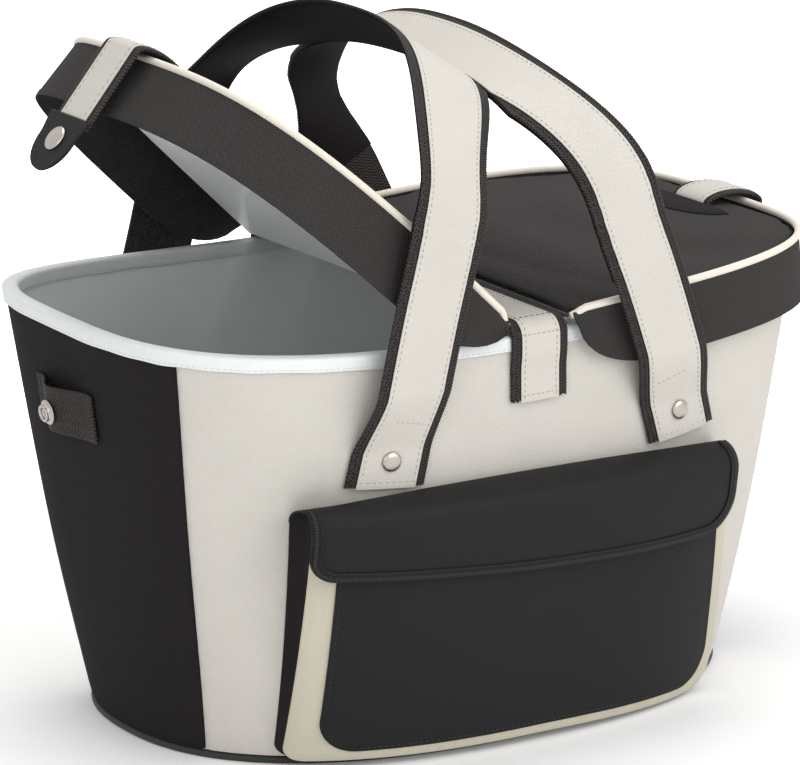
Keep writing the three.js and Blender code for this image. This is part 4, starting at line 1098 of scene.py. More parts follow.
HEAD = INNER_GAP + overlay_high + 2 * GAP
RIVET_PROFILE = [(0, -2.3), (5, -2.3), (5, -1.5), (2.2, -1.5), (2.2, HEAD), (5.6, HEAD),
    (5.8, HEAD + 0.5), (4.9, HEAD + 1.4), (2.6, HEAD + 2.0), (0, HEAD + 2.1)]
for way, end in ((-1, "front"), (1, "rear")):
    for strap, side in SIDES:
        spot, axis = rivet_place(strap, way)
        rivet = turned(f"{end}_{side}_rivet_head", RIVET_PROFILE, spot, axis, satin_nickel)
        place(rivet, "tub", f"{end}_{side}_rivet", "nickel")
print("rivets:", made_pieces[-4:])

# %% [markdown]
# ## Strap between the lids
#
# One more webbing strap with a cream cover is sewn up the front, over the opening and down the
# rear, and the lids' straight edges lie along it. It is held at both bends by a row of stitches.

# %% Centre strap rule
STRAP_BEND, STRAP_TOP = 7, LID["height"] - 3
STRAP_FACE = RIM["depth"] + 0.8 + INNER_GAP + GAP
STRAP_CLIMB, STRAP_RUN = STRAP_TOP - STRAP_BEND - STRAP_BOTTOM, STRAP_FACE - STRAP_BEND
BEND_FROM, BEND_TO = 0.4, 0.6
SEWN_CLIMB, FREE_BELOW_RIM = 18, 9


def middle_strap(half, ripple=0.0):
    """u runs from the front foot to the rear one, and t from either foot to the middle."""
    def surface(u, v, lift):
        u, v = np.broadcast_arrays(u, v)
        side, t = np.where(u < 0.5, -1.0, 1.0), 1 - np.abs(2 * u - 1)
        x = (2 * v - 1) * half
        lift = lift + ripple * np.sin(u * 60) * (1 - (2 * v - 1) ** 2)
        climb_z = STRAP_BOTTOM + STRAP_CLIMB * np.clip(t / BEND_FROM, 0, 1)
        free = ease(climb_z, STRAP_BOTTOM + SEWN_CLIMB, RIM_HEIGHT - FREE_BELOW_RIM)
        climb_y = lerp(wall_y(x, climb_z) + GAP, STRAP_FACE, free) + lift
        bend = np.pi / 2 * np.clip((t - BEND_FROM) / (BEND_TO - BEND_FROM), 0, 1)
        bend_y = STRAP_RUN + (STRAP_BEND + lift) * np.cos(bend)
        bend_z = STRAP_TOP - STRAP_BEND + (STRAP_BEND + lift) * np.sin(bend)
        flat_y = STRAP_RUN * np.clip((1 - t) / (1 - BEND_TO), 0, 1)
        parts = [t < BEND_FROM, t < BEND_TO]
        y = np.select(parts, [climb_y, bend_y], flat_y)
        return xyz(x, side * y, np.select(parts, [climb_z, bend_z], STRAP_TOP + lift))
    return surface


print("centre strap lies at", STRAP_TOP, "mm and bends", round(float(STRAP_RUN), 1), "mm from the middle")


# %% Centre strap, its cover and its seams
stretches = (np.linspace(0, BEND_FROM, 16), np.linspace(BEND_FROM, BEND_TO, 12)[1:],
    np.linspace(BEND_TO, 1, 26)[1:])
half_us = np.concatenate(stretches) / 2
strap_us = np.concatenate([half_us, 1 - half_us[:-1][::-1]])
strap_web, strap_cover = middle_strap(STRAP_HALF), middle_strap(STRAP_HALF - 6, 0.1)
place(thin_body("centre_strap_band", strap_web, np.clip(strap_us, 0.005, 0.995), 9, 0, WEBBING,
    black_webbing, strap=True), "tub", "centre_strap_webbing", "black_webbing")
place(thin_body("centre_strap_cover", strap_cover, strap_us, 9, overlay_low, overlay_high,
    cream_canvas, strap=True), "tub", "centre_strap_overlay", "cream_fabric")


def edge_rows(surface, us, inner):
    """Rows for the yarns of both edges of a webbing: the inner rows, then the outer ones."""
    return [[row(surface, us, v, lift) for v in (share, 1 - share)]
        for share, lift in zip((inner, 0.035), YARN_LIFTS)]


long_us = np.interp(np.linspace(0, 1, 240), np.linspace(0, 1, len(strap_us)), strap_us)
inner, outer = edge_rows(strap_web, np.clip(long_us, 0.006, 0.994), 0.115)
place(woven_edge("centre_strap_edge_ribs", inner, outer), "tub", (), "black_webbing")
thread_at = overlay_high + THREAD_LIFT
side_rows = [row(strap_cover, long_us[3:-3], v, thread_at) for v in (0.09, 0.91)]
stitches("centre_strap_stitches", side_rows, cream_thread, "tub", "cream_fabric")


def strap_cross(t):
    across = np.linspace(0.06, 0.94, 12)
    return [row(strap_cover, u, across, thread_at) for u in (t / 2, 1 - t / 2)]


stitches("centre_strap_cross_rows", strap_cross(BEND_TO), black_thread, "tub", "black_webbing",
    pitch=3.4, size=(2.5, 0.7, 0.5))
stitches("centre_strap_hem_rows", strap_cross(0.045) + strap_cross(0.43), cream_thread, "tub",
    "cream_fabric", pitch=3.0, size=(2.3, 0.7, 0.5))
print("centre strap pieces:", [name for name in made_pieces if name.startswith("centre_strap")])

# %% [markdown]
# ## Pocket
#
# The pocket is a box of cloth on the front: a black bellows gusset, a cream front with a black
# panel sewn on it, and a coated flap that folds over the top with a ribbed binding. All of them
# follow the front wall pushed out by the pocket's depth, so they share one rule. The pocket is
# full: it widens and leans towards the right foot, sinks there, and its left edge is pulled out.

# %% Pocket rule
DEPTH_FOOT, DEPTH_TOP, SUNK_BELOW = 11, 21, 60


def from_centre(panel, x):
    """Place across a panel: -1 at its left edge, 1 at its right one."""
    return (x - panel["x"]) / panel["half"]


def across_panel(panel, u):
    return panel["x"] + (2 * u - 1) * panel["half"]


def pocket_depth(z):
    return lerp(DEPTH_FOOT, DEPTH_TOP, np.clip(z / POCKET["top"], 0, 1))


def flared(x, z):
    """Full below, the pocket widens towards its foot and leans to the right."""
    low = 1 - np.minimum(1, z / POCKET["top"])
    return x + low * (POCKET_FLARE * (x - POCKET["x"]) + POCKET_LEAN)


def pocket_point(x, z, lift):
    """The front's left edge is pulled out, which widens the border there."""
    from_middle = POCKET["x"] - x
    to_right = ease(-from_middle, 0, 0.8 * POCKET["half"])
    sunk = z - POCKET_DROP * to_right * (1 - ease(z, 0, SUNK_BELOW))
    x = flared(x, z) - POCKET_PULL * ease(from_middle, INSET["half"] - 3, POCKET["half"])
    return xyz(x, -(wall_y(x, z) + pocket_depth(z) + lift), sunk)


def rounded_bottom(panel, x):
    """Height of a panel's lower edge, with its two rounded corners."""
    corner = np.where(x < panel["x"], *panel["corner"])
    dip = np.maximum(0, corner - (panel["half"] - np.abs(x - panel["x"])))
    return panel["bottom"] + corner - np.sqrt(np.maximum(0, corner ** 2 - dip ** 2))


def panel_us(panel, count):
    """Places across a panel, closer together round its corners."""
    width, (left, right) = 2 * panel["half"], panel["corner"]
    bend = 1 - np.cos(np.linspace(0, np.pi / 2, 9))
    middle = np.linspace(left, width - right, count)[1:-1]
    return np.concatenate([left * bend, middle, width - right * bend[::-1]]) / width


def pocket_panel(panel, shape):
    def surface(u, v, lift):
        x = across_panel(panel, u) + 0 * v
        z = lerp(rounded_bottom(panel, x), panel["top"], v)
        return pocket_point(x, z, lift + shape(x, z))
    return surface


print("pocket depth at half height:", round(float(pocket_depth(POCKET["top"] / 2)), 1), "mm")


# %% Pocket front and the panel on it
ROLL_WIDTH, ROLL, OUTER_SEAM = 12, 0.55, (0.9, 2.0)
SAG, SAG_TOP, INNER_SEAM, SEAM_AT = 0.5, (95, 120), (0.25, 1.4), 2.5


def to_edge(panel, x, z):
    return np.minimum(panel["half"] - np.abs(x - panel["x"]), z - panel["bottom"])


def border_shape(x, z):
    """The cream border is a soft roll between its outer seam and the black panel's seam."""
    side = to_edge(POCKET, x, z)
    roll = ROLL * np.sin(np.clip(side / ROLL_WIDTH, 0, 1) * np.pi)
    return roll - OUTER_SEAM[0] * np.exp(-(side / OUTER_SEAM[1]) ** 2)


def inset_shape(x, z):
    """The black panel sags a little and is drawn down along its own seam."""
    side, low = to_edge(INSET, x, z), 1 - ease(z, *SAG_TOP)
    slack = SAG * low * ease(side, 4, 30) * (1 + np.sin(x / 31 + 1) * np.sin(z / 23))
    return slack - INNER_SEAM[0] * np.exp(-((side - SEAM_AT) / INNER_SEAM[1]) ** 2)


pocket_front = pocket_panel(POCKET, border_shape)
pocket_inset = pocket_panel(INSET, inset_shape)
inset_low, inset_high = 2 * GAP, 2 * GAP + 1
place(thin_body("pocket_front_cloth", pocket_front, panel_us(POCKET, 90), 50, -FABRIC, 0,
    pocket_canvas), "tub", "pocket_front", "pocket_cream")
place(thin_body("pocket_inset_cloth", pocket_inset, panel_us(INSET, 90), 46, inset_low, inset_high,
    coated_cloth), "tub", "pocket_inset_panel", "pocket_black")
print("pocket front", 2 * POCKET["half"], "mm wide, its panel", 2 * INSET["half"], "mm")


# %% Pocket gusset
DOWN, TURNS, BOTTOM = 20, 14, 29
FOLD_IN, PUFF, BACK_RAISED, FRONT_RAISED = 2.2, 5, (2.5, 5.5), (7.5, 3.5)


def gusset_line():
    """Its path down the left, round and up the right: x, z and the outward way."""
    side, low, high = POCKET["half"] - 0.1, POCKET["bottom"], POCKET["top"] - 2
    turn, halves = np.linspace(0, np.pi / 2, TURNS), []
    for sign, corner in zip((-1, 1), POCKET["corner"]):
        reach = np.concatenate([[side] * DOWN, side - corner * (1 - np.cos(turn)),
            np.linspace(side - corner, 0, BOTTOM + 1)[1:]])
        z = np.concatenate([np.linspace(high, low + corner, DOWN + 1)[:-1],
            low + corner * (1 - np.sin(turn)), [low] * BOTTOM])
        out = np.concatenate([[1.0] * DOWN, np.cos(turn), [0.0] * BOTTOM])
        down = np.concatenate([[0.0] * DOWN, -np.sin(turn), [-1.0] * BOTTOM])
        halves.append(np.stack([sign * reach, z, sign * out, down]))
    return np.concatenate([halves[0], halves[1][:, -2::-1]], 1)


gusset_path = gusset_line()
gusset_at = np.linspace(0, 1, gusset_path.shape[1])


def gusset_surface(u, v, lift):
    """A strip from the wall (v = 0) to the pocket's front (v = 1), folded in between."""
    u, v = np.broadcast_arrays(u, v)
    x, z, nx, nz = [np.interp(u, gusset_at, line) for line in gusset_path]
    fold = -FOLD_IN * np.sin(np.pi * v) * ease(z, 10, 70)
    x, z = POCKET["x"] + x + nx * (lift + fold), z + nz * (lift + fold)
    up, left = np.clip(z / POCKET["top"], 0, 1), np.maximum(-nx, 0)
    back_x = flared(x, z) + lerp(*GUSSET_SPLAY, up) * nx
    near_top = up ** 2
    raised = (BACK_RAISED[0] + BACK_RAISED[1] * left) * near_top
    back = xyz(back_x, -(wall_y(back_x, z) + 2 * GAP), z + raised)
    front = pocket_point(x, z, -FABRIC - INNER_GAP)
    front[..., 2] += (FRONT_RAISED[0] + FRONT_RAISED[1] * left) * ease(z, 120, POCKET["top"])
    bent = lerp(back, front, v[..., None])
    bent[..., 2] += PUFF * np.sin(np.pi * v) * near_top
    return bent


place(thin_body("pocket_gusset_cloth", gusset_surface, gusset_at, 11, -FABRIC, 0, black_canvas),
    "tub", "pocket_gusset", "black_fabric")
print("gusset runs through", len(gusset_at), "places")

# %% [markdown]
# ## Pocket flap
#
# The flap is one sheet of coated cloth that rises from a strip sewn to the wall, folds over and
# hangs in front of the pocket. A cloth simulation could drape it, but its fold and its slack show
# clearly, so slow waves along a rule give the same lie with more control. Its fold droops to the
# right and its hem rises at both ends. A grosgrain tape binds the hem, and a hook and loop pair
# holds the flap shut.

# %% Pocket flap rule
FLAP_CLEAR, FLAP_TURN, FLAP_THICK, FLAP_CUT = 4.8, 0.42, 1.6, (0.282, 0.065)
CREST_LIFT, CREST_DROOP, CREST_AT, HEM_RISE, LEFT_PULL = 1.2, 2.26, -0.5, 7, 6.5


def flap_wave(x, v):
    reach = from_centre(FLAP, x)
    slow, quick = np.sin(4.2 * reach + 0.6) * v, np.sin(11 * reach + 2.6) * v ** 2
    return ease(v, 0.1, 0.6) * (0.8 + 0.8 * slow + 0.35 * quick)


def pulled_left(x):
    """The flap's left end hangs past the pocket's front, over the gusset."""
    return x - LEFT_PULL * ease(FLAP["x"] - x, 0.6 * FLAP["half"], FLAP["half"])


def flap_crest(x):
    """Height of the flap's fold, which droops towards the right end."""
    return FLAP["height"] + CREST_LIFT - CREST_DROOP * (from_centre(FLAP, x) - CREST_AT) ** 2


def flap_span(x):
    """Heights at which the flap starts to hang and at which it ends."""
    reach, crest = from_centre(FLAP, x), flap_crest(x)
    hem = HEM_RISE * reach ** 2 + FLAP["slant"] * reach
    return crest - FLAP["crown"], rounded_bottom(FLAP, x) + crest - FLAP["height"] + hem


def flap_v(x, z):
    """Share of the way down the flap at which its hanging part passes the height z."""
    level, bottom = flap_span(x)
    return 1 - (1 - FLAP_TURN) * (z - bottom) / (level - bottom)


def flap_point(x, v, lift):
    """The flap rises and folds over while v runs to FLAP_TURN, and then hangs down to its hem."""
    x, v = np.broadcast_arrays(x, v)
    start = FLAP["root"] + 2 * GAP
    level, bottom = flap_span(x)
    lift = lift + flap_wave(x, v)

    def face_y(z):
        return wall_y(x, z) + pocket_depth(z) + FLAP_CLEAR
    hang = lerp(level, bottom, np.clip((v - FLAP_TURN) / (1 - FLAP_TURN), 0, 1))
    bend = np.pi / 2 * np.clip(v / FLAP_TURN, 0, 1)
    forward = face_y(level) - start + lift
    climb = FLAP["crown"] + lift
    down = v > FLAP_TURN
    y = np.where(down, face_y(hang) + lift, start + forward * np.sin(bend))
    z = np.where(down, hang, level + climb * np.cos(bend))
    return xyz(pulled_left(x), -y, z)


print("flap hangs to", round(float(flap_span(FLAP["x"])[1]), 1), "mm in its middle")


# %% Pocket flap and the strip that carries it
STRIP_DROP, STRIP_SPREAD = 9.5, 5.5


def flap_surface(u, v, lift):
    return flap_point(across_panel(FLAP, u) + 0 * v, v + 0 * u, lift)


def root_surface(u, v, lift):
    """The strip bends off the wall and ends level under the flap's own height."""
    u, v = np.broadcast_arrays(u, v)
    x = across_panel(FLAP, u)
    bend, crest = np.pi / 2 * v, np.minimum(flap_crest(x), FLAP["height"])
    z = crest - STRIP_DROP + (STRIP_DROP + lift) * np.sin(bend)
    wall = wall_y(x, crest) + 1.5 * GAP
    x = lerp(x + STRIP_SPREAD * (2 * u - 1), pulled_left(x), v)
    return xyz(x, -(lerp(FLAP["root"], wall, np.cos(bend)) - lift * np.cos(bend)), z)


flap_vs = np.concatenate([np.linspace(0, FLAP_TURN, 18), np.linspace(FLAP_TURN, 1, 22)[1:]])
flap = thin_body("pocket_flap_cloth", flap_surface, panel_us(FLAP, 90), flap_vs, 0, FLAP_THICK,
    coated_cloth)
place(flap, "flap", "pocket_flap", "pocket_black")
print("flap cut to", FLAP_CUT, "m")
place(thin_body("pocket_flap_strip", root_surface, 60, 12, 0, FABRIC, coated_cloth), "tub",
    "pocket_flap_root", "pocket_black")


# %% Path of the flap's binding
HEM = 6


def binding_half(side):
    """(x, v) of its outer and inner edges, down the left (-1) or right (1) side to the middle."""
    half, corner = FLAP["half"], FLAP["corner"][side > 0]
    ends = FLAP["x"] + side * np.array([half, half - HEM])
    edges = [((ends[0], v), (ends[1], v)) for v in np.linspace(0.02, FLAP_TURN, 20)]
    level, bottom = flap_span(ends[0])
    edges += [tuple((x, flap_v(x, z)) for x in ends) for z in np.linspace(level, bottom, 20)[1:]]
    turn = [(half - corner * (1 - np.cos(a)), a) for a in np.linspace(0, np.pi / 2, 16)[1:]]
    turn += [(reach, np.pi / 2) for reach in np.linspace(half - corner, 0, 40)[1:]]
    for reach, a in turn:
        outer, inner = [FLAP["x"] + side * at for at in (reach, reach - HEM * np.cos(a))]
        hem_z = flap_span(outer)[1] + HEM * np.sin(a)
        edges.append(((outer, 1.0), (inner, flap_v(inner, hem_z))))
    return np.array(edges)


bound = np.concatenate([binding_half(-1), binding_half(1)[:-1][::-1]])
bound_at = np.linspace(0, 1, len(bound))
print("binding runs through", len(bound), "places")


# %% Flap binding, hook and loop tape, and the black panel's seam
TAPE = dict(half=45, low=121, high=139, thick=1)


def binding_surface(u, v, lift):
    u, v = np.broadcast_arrays(u, v)
    outer, inner = [[np.interp(u, bound_at, bound[:, edge, k]) for k in (0, 1)] for edge in (0, 1)]
    return flap_point(lerp(outer[0], inner[0], v), lerp(outer[1], inner[1], v), lift)


def tape_surface(u, v, lift):
    x = POCKET["x"] + (2 * u - 1) * TAPE["half"]
    return pocket_point(x + 0 * v, lerp(TAPE["low"], TAPE["high"], v) + 0 * u, lift)


bind_low, bind_high = FLAP_THICK + GAP, FLAP_THICK + GAP + 0.5
place(thin_body("pocket_flap_tape", binding_surface, bound_at, 9, bind_low, bind_high, grosgrain,
    strap=True), "flap", "pocket_flap_binding", "black_webbing")
bound_us = np.linspace(0.005, 0.995, 500)
stitches("pocket_flap_tape_ribs", [row(binding_surface, bound_us, 0.45, bind_high - 0.2)],
    black_thread, "flap", "black_webbing", pitch=1.4, size=(0.95, 5.4, 0.5))
stitches("pocket_flap_stitches", [row(binding_surface, bound_us, 0.84, bind_high)], black_thread,
    "flap", "black_webbing", pitch=3.2, size=(2.3, 0.5, 0.35))
hook_low, loop_high = inset_high + GAP, FLAP_CLEAR - GAP
place(thin_body("pocket_hook_strip", tape_surface, 30, 6, hook_low, hook_low + TAPE["thick"],
    grosgrain), "tub", "pocket_hook_tape", "black_webbing")
place(thin_body("pocket_loop_strip", tape_surface, 30, 6, loop_high - TAPE["thick"], loop_high,
    grosgrain), "flap", "pocket_loop_tape", "black_webbing")
inset_rows = [row(pocket_inset, np.full(60, u), np.linspace(0.2, 0.8, 60), inset_high + THREAD_LIFT)
    for u in (0.008, 0.992)]
inset_rows += [row(pocket_inset, np.linspace(0.09, 0.91, 160), 0.016, inset_high + THREAD_LIFT)]
stitches("pocket_inset_stitches", inset_rows, black_thread, "tub", "pocket_black", pitch=3.4,
    size=(2.4, 0.6, 0.5))
print("flap pieces:", [name for name in made_pieces if name.startswith("pocket_flap")])

# %% [markdown]
# ## Lids
#
# A lid is a D of stiffened cloth: a padded top, a cord of piping round its curved edge and a
# skirt that hangs outside the tub. Both lids are the same piece, so each rule is written once for
# the closed right lid. The left one is mirrored and turned up about its hinge line.

# %% Lid rule
def lid_edge(inset, start):
    """Gives x and y along a lid's curved edge, from the front end of its straight side to the rear."""
    end = np.arccos((start / (LID["length"] - inset)) ** (LID["power"] / 2))
    x, y = superellipse(LID["length"] - inset, LID["depth"] - inset, LID["power"],
        np.linspace(-end, end, 1601))
    run = np.concatenate([[0], np.cumsum(np.hypot(np.diff(x), np.diff(y)))])

    def at(u):
        far = np.asarray(u) * run[-1]
        return np.interp(far, run, x), np.interp(far, run, y)
    return at


def lid_top(x, y):
    reach, side = x / LID["length"], y / LID["depth"]
    swell = 4 * reach * (1 - reach) * np.maximum(0, 1 - side ** 2)
    return LID["height"] + LID["rise"] * reach * (1.6 - 0.6 * reach) + LID["dome"] * swell


def outward_of(edge, u):
    before, after = edge(np.clip(u - 0.004, 0, 1)), edge(np.clip(u + 0.004, 0, 1))
    return unit(np.stack([after[1] - before[1], before[0] - after[0]], -1))


def at_side(side, points):
    """Places on the closed right lid, or the same ones on the left lid that stands open."""
    if side == "right":
        return points
    c, s = np.cos(np.radians(LEFT_OPEN)), np.sin(np.radians(LEFT_OPEN))
    x, z = -points[..., 0] + HINGE_X, points[..., 2] - HINGE_Z
    return xyz(x * c + z * s - HINGE_X, points[..., 1], -x * s + z * c + HINGE_Z)


def on_side(side, surface):
    return lambda u, v, lift: at_side(side, surface(u, v, lift))


print("lid rises", round(float(lid_top(LID["length"] / 2, 0) - LID["height"]), 1), "mm in its middle")


# %% [markdown]
# ## Padded lid tops by cloth simulation
#
# The top is cloth over a thin foam pad, drawn down at its sewn edge, so it swells like a flat
# cushion. A rule could dome it, but a cloth simulation gives the uneven swell of real padding.
# A plain pad is remeshed into even quads, blown up under pressure without gravity, held at its
# edge, and the movement of every point is capped so that it stays in the space of its solid.

# %% Lid pad
LID_EDGE_TOP, PAD_FACE, PAD_THICK, PAD_CAP, HELD_BELOW = 0.9, -1.0, 5.4, 0.8, 0.7
VOXEL, PRESSURE, STIFFNESS, STEPS = 0.005, 4, 5, 20


def pad_surface(u, v, lift):
    edge = lid_edge(LID_EDGE_TOP, LID_START)
    x, y = edge(u)
    across = lerp(LID_START, x, v)
    return xyz(across, y + 0 * v, lid_top(across, y) + lift)


def bake(piece):
    """Makes what the modifiers show the piece's own mesh, and removes them."""
    graph = bpy.context.evaluated_depsgraph_get()
    baked = bpy.data.meshes.new_from_object(piece.evaluated_get(graph))
    piece.modifiers.clear()
    piece.data = baked


def cloth_swell(piece, cap):
    """Blows a closed pad up a little and keeps its underside and edge where they were."""
    even = piece.modifiers.new("even", "REMESH")
    even.mode, even.voxel_size = "VOXEL", VOXEL
    bake(piece)
    rest = np.array([v.co for v in piece.data.vertices])
    held = piece.vertex_groups.new(name="held")
    top = lid_top(rest[:, 0] / MM, rest[:, 1] / MM) * MM
    below = np.flatnonzero(rest[:, 2] < top + (PAD_FACE - HELD_BELOW) * MM)
    held.add(below.tolist(), 1.0, "REPLACE")
    cloth = piece.modifiers.new("swell", "CLOTH").settings
    cloth.use_pressure, cloth.uniform_pressure_force = True, PRESSURE
    cloth.effector_weights.gravity = 0
    cloth.vertex_group_mass, cloth.quality = "held", 4
    cloth.tension_stiffness = cloth.compression_stiffness = STIFFNESS
    scene = bpy.context.scene
    for step in range(1, STEPS + 1):
        scene.frame_set(step)
    graph = bpy.context.evaluated_depsgraph_get()
    blown = np.array([v.co for v in piece.evaluated_get(graph).data.vertices])
    piece.modifiers.clear()
    scene.frame_set(1)
    move = blown - rest
    size = np.linalg.norm(move, axis=1, keepdims=True)
    move *= np.minimum(1, cap / np.maximum(size, 1e-9))
    return rest + move, float(size.max())


print("a pad may swell by", PAD_CAP, "mm")


# %% Both lid tops
pad = thin_body("right_lid_pad", pad_surface, 120, 40, PAD_FACE - PAD_THICK, PAD_FACE, lid_canvas)
moved_points, most = cloth_swell(pad, PAD_CAP * MM)
pad.data.vertices.foreach_set("co", moved_points.astype(np.float32).ravel())
print("padding swelled by up to", round(most * 1000, 1), "mm before the cap")
closed = np.zeros(len(pad.data.vertices) * 3, np.float32)
pad.data.vertices.foreach_get("co", closed)
closed = closed.reshape(-1, 3).astype(float)
for side, piece in (("right", pad), ("left", linked("left_lid_pad", pad.data.copy()))):
    lay_map(piece.data, closed[:, :2])
    piece.data.shade_smooth()
    placed = at_side(side, closed / MM) * MM
    piece.data.vertices.foreach_set("co", placed.astype(np.float32).ravel())
    clean(piece.data, merge=False)
    if not piece.data.materials:
        piece.data.materials.append(lid_canvas)
    soften = piece.modifiers.new("soften", "SUBSURF")
    soften.levels = soften.render_levels = 1
    place(piece, f"{side}_lid", (f"{side}_lid_top", f"{side}_lid_board"), "lid_fabric")
print("both tops are made of", len(closed), "points each")

# %% [markdown]
# ## Skirts, piping, lining and bound edges of the lids
#
# The skirt hangs from the piping, flares a little and ends in a rounded corner beside the strap.
# Its hem is turned up, which shows as a slightly thicker last few millimetres and a stitch row.

# %% Rules of the lid's parts
SKIRT_START, LEAST_DROP, CORNER_FLARE, CORNER_LENGTH = LID_START + 0.3, 0.12, 2.5, 28
WAVE, HEM_THICK, HEM_AT, TUCK = 0.5, 0.25, 0.93, 1.4
LINING = dict(inset=12, start=LID_START + 1.5, low=-8.9, high=-8.1, crumple=0.5)
PATCH = dict(chord=PULL_START - overlay_high - 2 * GAP, half=42, depth=24, sewn=0.9)


def skirt_surface(u, v, lift):
    """Hangs from the piping (v = 0) to the hem (v = 1), and rounds off beside the strap."""
    u, v = np.broadcast_arrays(u, v)
    edge = lid_edge(0, SKIRT_START)
    x, y = edge(u)
    run = np.clip((x - LID_START) / (1.5 * SKIRT_DROP), 0, 1)
    drop = (SKIRT_DROP - LID_PIPING) * np.maximum(LEAST_DROP, np.sqrt(1 - (1 - run) ** 2))
    to_corner = np.maximum(0, 1 - (x - LID_START) / CORNER_LENGTH)
    flare = SKIRT_FLARE * v + CORNER_FLARE * v * to_corner
    hem = HEM_THICK * np.exp(-((v - HEM_AT) / 0.05) ** 2)
    wave = WAVE * v * np.sin(17 * u + 1) * np.sin(np.pi * u) + hem
    out = outward_of(edge, u) * (lift + flare + wave)[..., None]
    top = lid_top(x, y) - LID_PIPING - GAP
    return xyz(x + out[..., 0], y + out[..., 1], top - drop * v + TUCK * (1 - v) ** 6)


def pipe_line():
    """The cord round the curved edge, whose two ends are tucked in and down."""
    at = np.linspace(0, 1, 200)
    x, y = lid_edge(0, LID_START)(at)
    tucked = 1 - ease(np.minimum(at, 1 - at), 0, 0.016)
    return xyz(x, y * (1 - 0.012 * tucked), lid_top(x, y) - 3.4 * tucked)


def lining_surface(u, v, lift):
    x, y = lid_edge(LINING["inset"], LINING["start"])(u)
    across, y = lerp(LINING["start"], x, v), y + 0 * v
    folds = np.sin(across / 13 + y / 29) * np.sin(y / 17 - across / 41)
    crumple = LINING["crumple"] * folds * np.sin(np.pi * np.clip(v, 0, 1))
    return xyz(across, y, lid_top(across, y) + lift + crumple)


def patch_surface(u, v, lift):
    """A half-moon from its round edge (v = 0) to its straight one (v = 1), drawn down at its seam."""
    y = PATCH["half"] * (2 * u - 1) + 0 * v
    round_off = np.sqrt(np.maximum(0, 1 - (2 * u - 1) ** 2))
    x = PATCH["chord"] - PATCH["depth"] * round_off * (1 - v)
    at_seam, at_tip = np.exp(-(v / 0.15) ** 2), np.exp(-((1 - np.abs(2 * u - 1)) / 0.1) ** 2)
    sewn = np.minimum(PATCH["sewn"] * at_seam + PATCH["sewn"] * at_tip, PATCH["sewn"])
    return xyz(x, y, lid_top(x, y) + GAP + lift - sewn)


inner_end = lid_edge(LID_PIPING + 2 * GAP, LID_START)(1.0)[1]
hinge_line = xyz(HINGE_X, np.linspace(-inner_end, inner_end, 40), HINGE_Z)
print("bound edge", round(2 * float(inner_end), 1), "mm long")


# %% Skirt, piping, lining, patch and bound edge of both lids
SKIRT_HALF = 0.6

for side in ("right", "left"):
    body = f"{side}_lid"
    skirt, patch = on_side(side, skirt_surface), on_side(side, patch_surface)
    place(thin_body(f"{side}_lid_skirt_cloth", skirt, 160, 22, -SKIRT_HALF, SKIRT_HALF, lid_canvas),
        body, f"{side}_lid_skirt", "lid_fabric")
    hem_row = [row(skirt, np.linspace(0.03, 0.97, 400), 0.9, SKIRT_HALF + 0.02)]
    stitches(f"{side}_lid_skirt_stitches", hem_row, black_thread, body, "lid_fabric", pitch=3.4,
        size=(2.5, 0.6, 0.5))
    cord_piece(f"{side}_lid_piping_cord", at_side(side, pipe_line()), LID_PIPING - 0.25,
        piping_cloth, body, f"{side}_lid_piping", "cream_piping")
    place(thin_body(f"{side}_lid_lining_film", on_side(side, lining_surface), 120, 24,
        LINING["low"], LINING["high"], liner_film), body, f"{side}_lid_lining", "white_lining")
    place(thin_body(f"{side}_lid_patch_cloth", patch, 60, 12, 0, FABRIC, black_canvas), body,
        f"{side}_lid_patch", "black_fabric")
    cord_piece(f"{side}_lid_bound_edge", at_side(side, hinge_line), HINGE_RADIUS, black_piping,
        body, f"{side}_lid_binding", "black_fabric")
    seam = [row(patch, np.linspace(0.03, 0.97, 120), 0.07, FABRIC + THREAD_LIFT)]
    stitches(f"{side}_lid_patch_stitches", seam, black_thread, body, "black_fabric", pitch=3.2,
        size=(2.3, 0.6, 0.5))
print("lid pieces:", sum("_lid_" in name for name in made_pieces))

# %% [markdown]
# ## Pull straps and snap tabs
#
# A short strap runs over each lid's end in a low arch and hangs down to a spade-shaped tab, whose
# snap cap presses onto a ringed stud on the end loop below. The strap is webbing with a cream
# cover, the tab a doubled piece of smooth black cloth with a stitched edge. Each strap is one
# piece, made where the lid and the tab stand.

# %% Pull strap and tab rules
TAB = dict(root=260, shoulder=211.5, cap=196, tip=176, half=19, shoulder_half=22, hole=4.8)
STUD_HEIGHT, CAP_CLEAR, ARCHED, FOLD_SPAN, EDGE_ROLL = 3.8, 1.7, 0.5, (2, -9), 0.3
STUD_FOOT = {sign: float(wall_x(LOOP["y"], LOOP["z"])) + LOOP["bow"][sign] + WEBBING + 3.5 * GAP
    for sign in (1, -1)}
PULL_FACE = STUD_FOOT[1] + STUD_HEIGHT + CAP_CLEAR - WEBBING - GAP


def pull_rule(half, bottom):
    """The strap's arch over the piping is u from 0 to ARCHED, and the rest hangs straight down."""
    def surface(u, v, lift):
        u, v = np.broadcast_arrays(u, v)
        over, down = np.clip(u / ARCHED, 0, 1), np.clip((u - ARCHED) / (1 - ARCHED), 0, 1)
        a = np.pi * (1 - over)
        x = (PULL_START + PULL_FACE) / 2 + ((PULL_FACE - PULL_START) / 2 + lift) * np.cos(a)
        foot = lerp(lid_top(PULL_START, 0) + 1.5 * GAP, TAB["root"], over)
        hang = (TAB["root"] - bottom) * down
        return xyz(x, (2 * v - 1) * half, foot + (PULL_RISE + lift) * np.sin(a) - hang)
    return surface


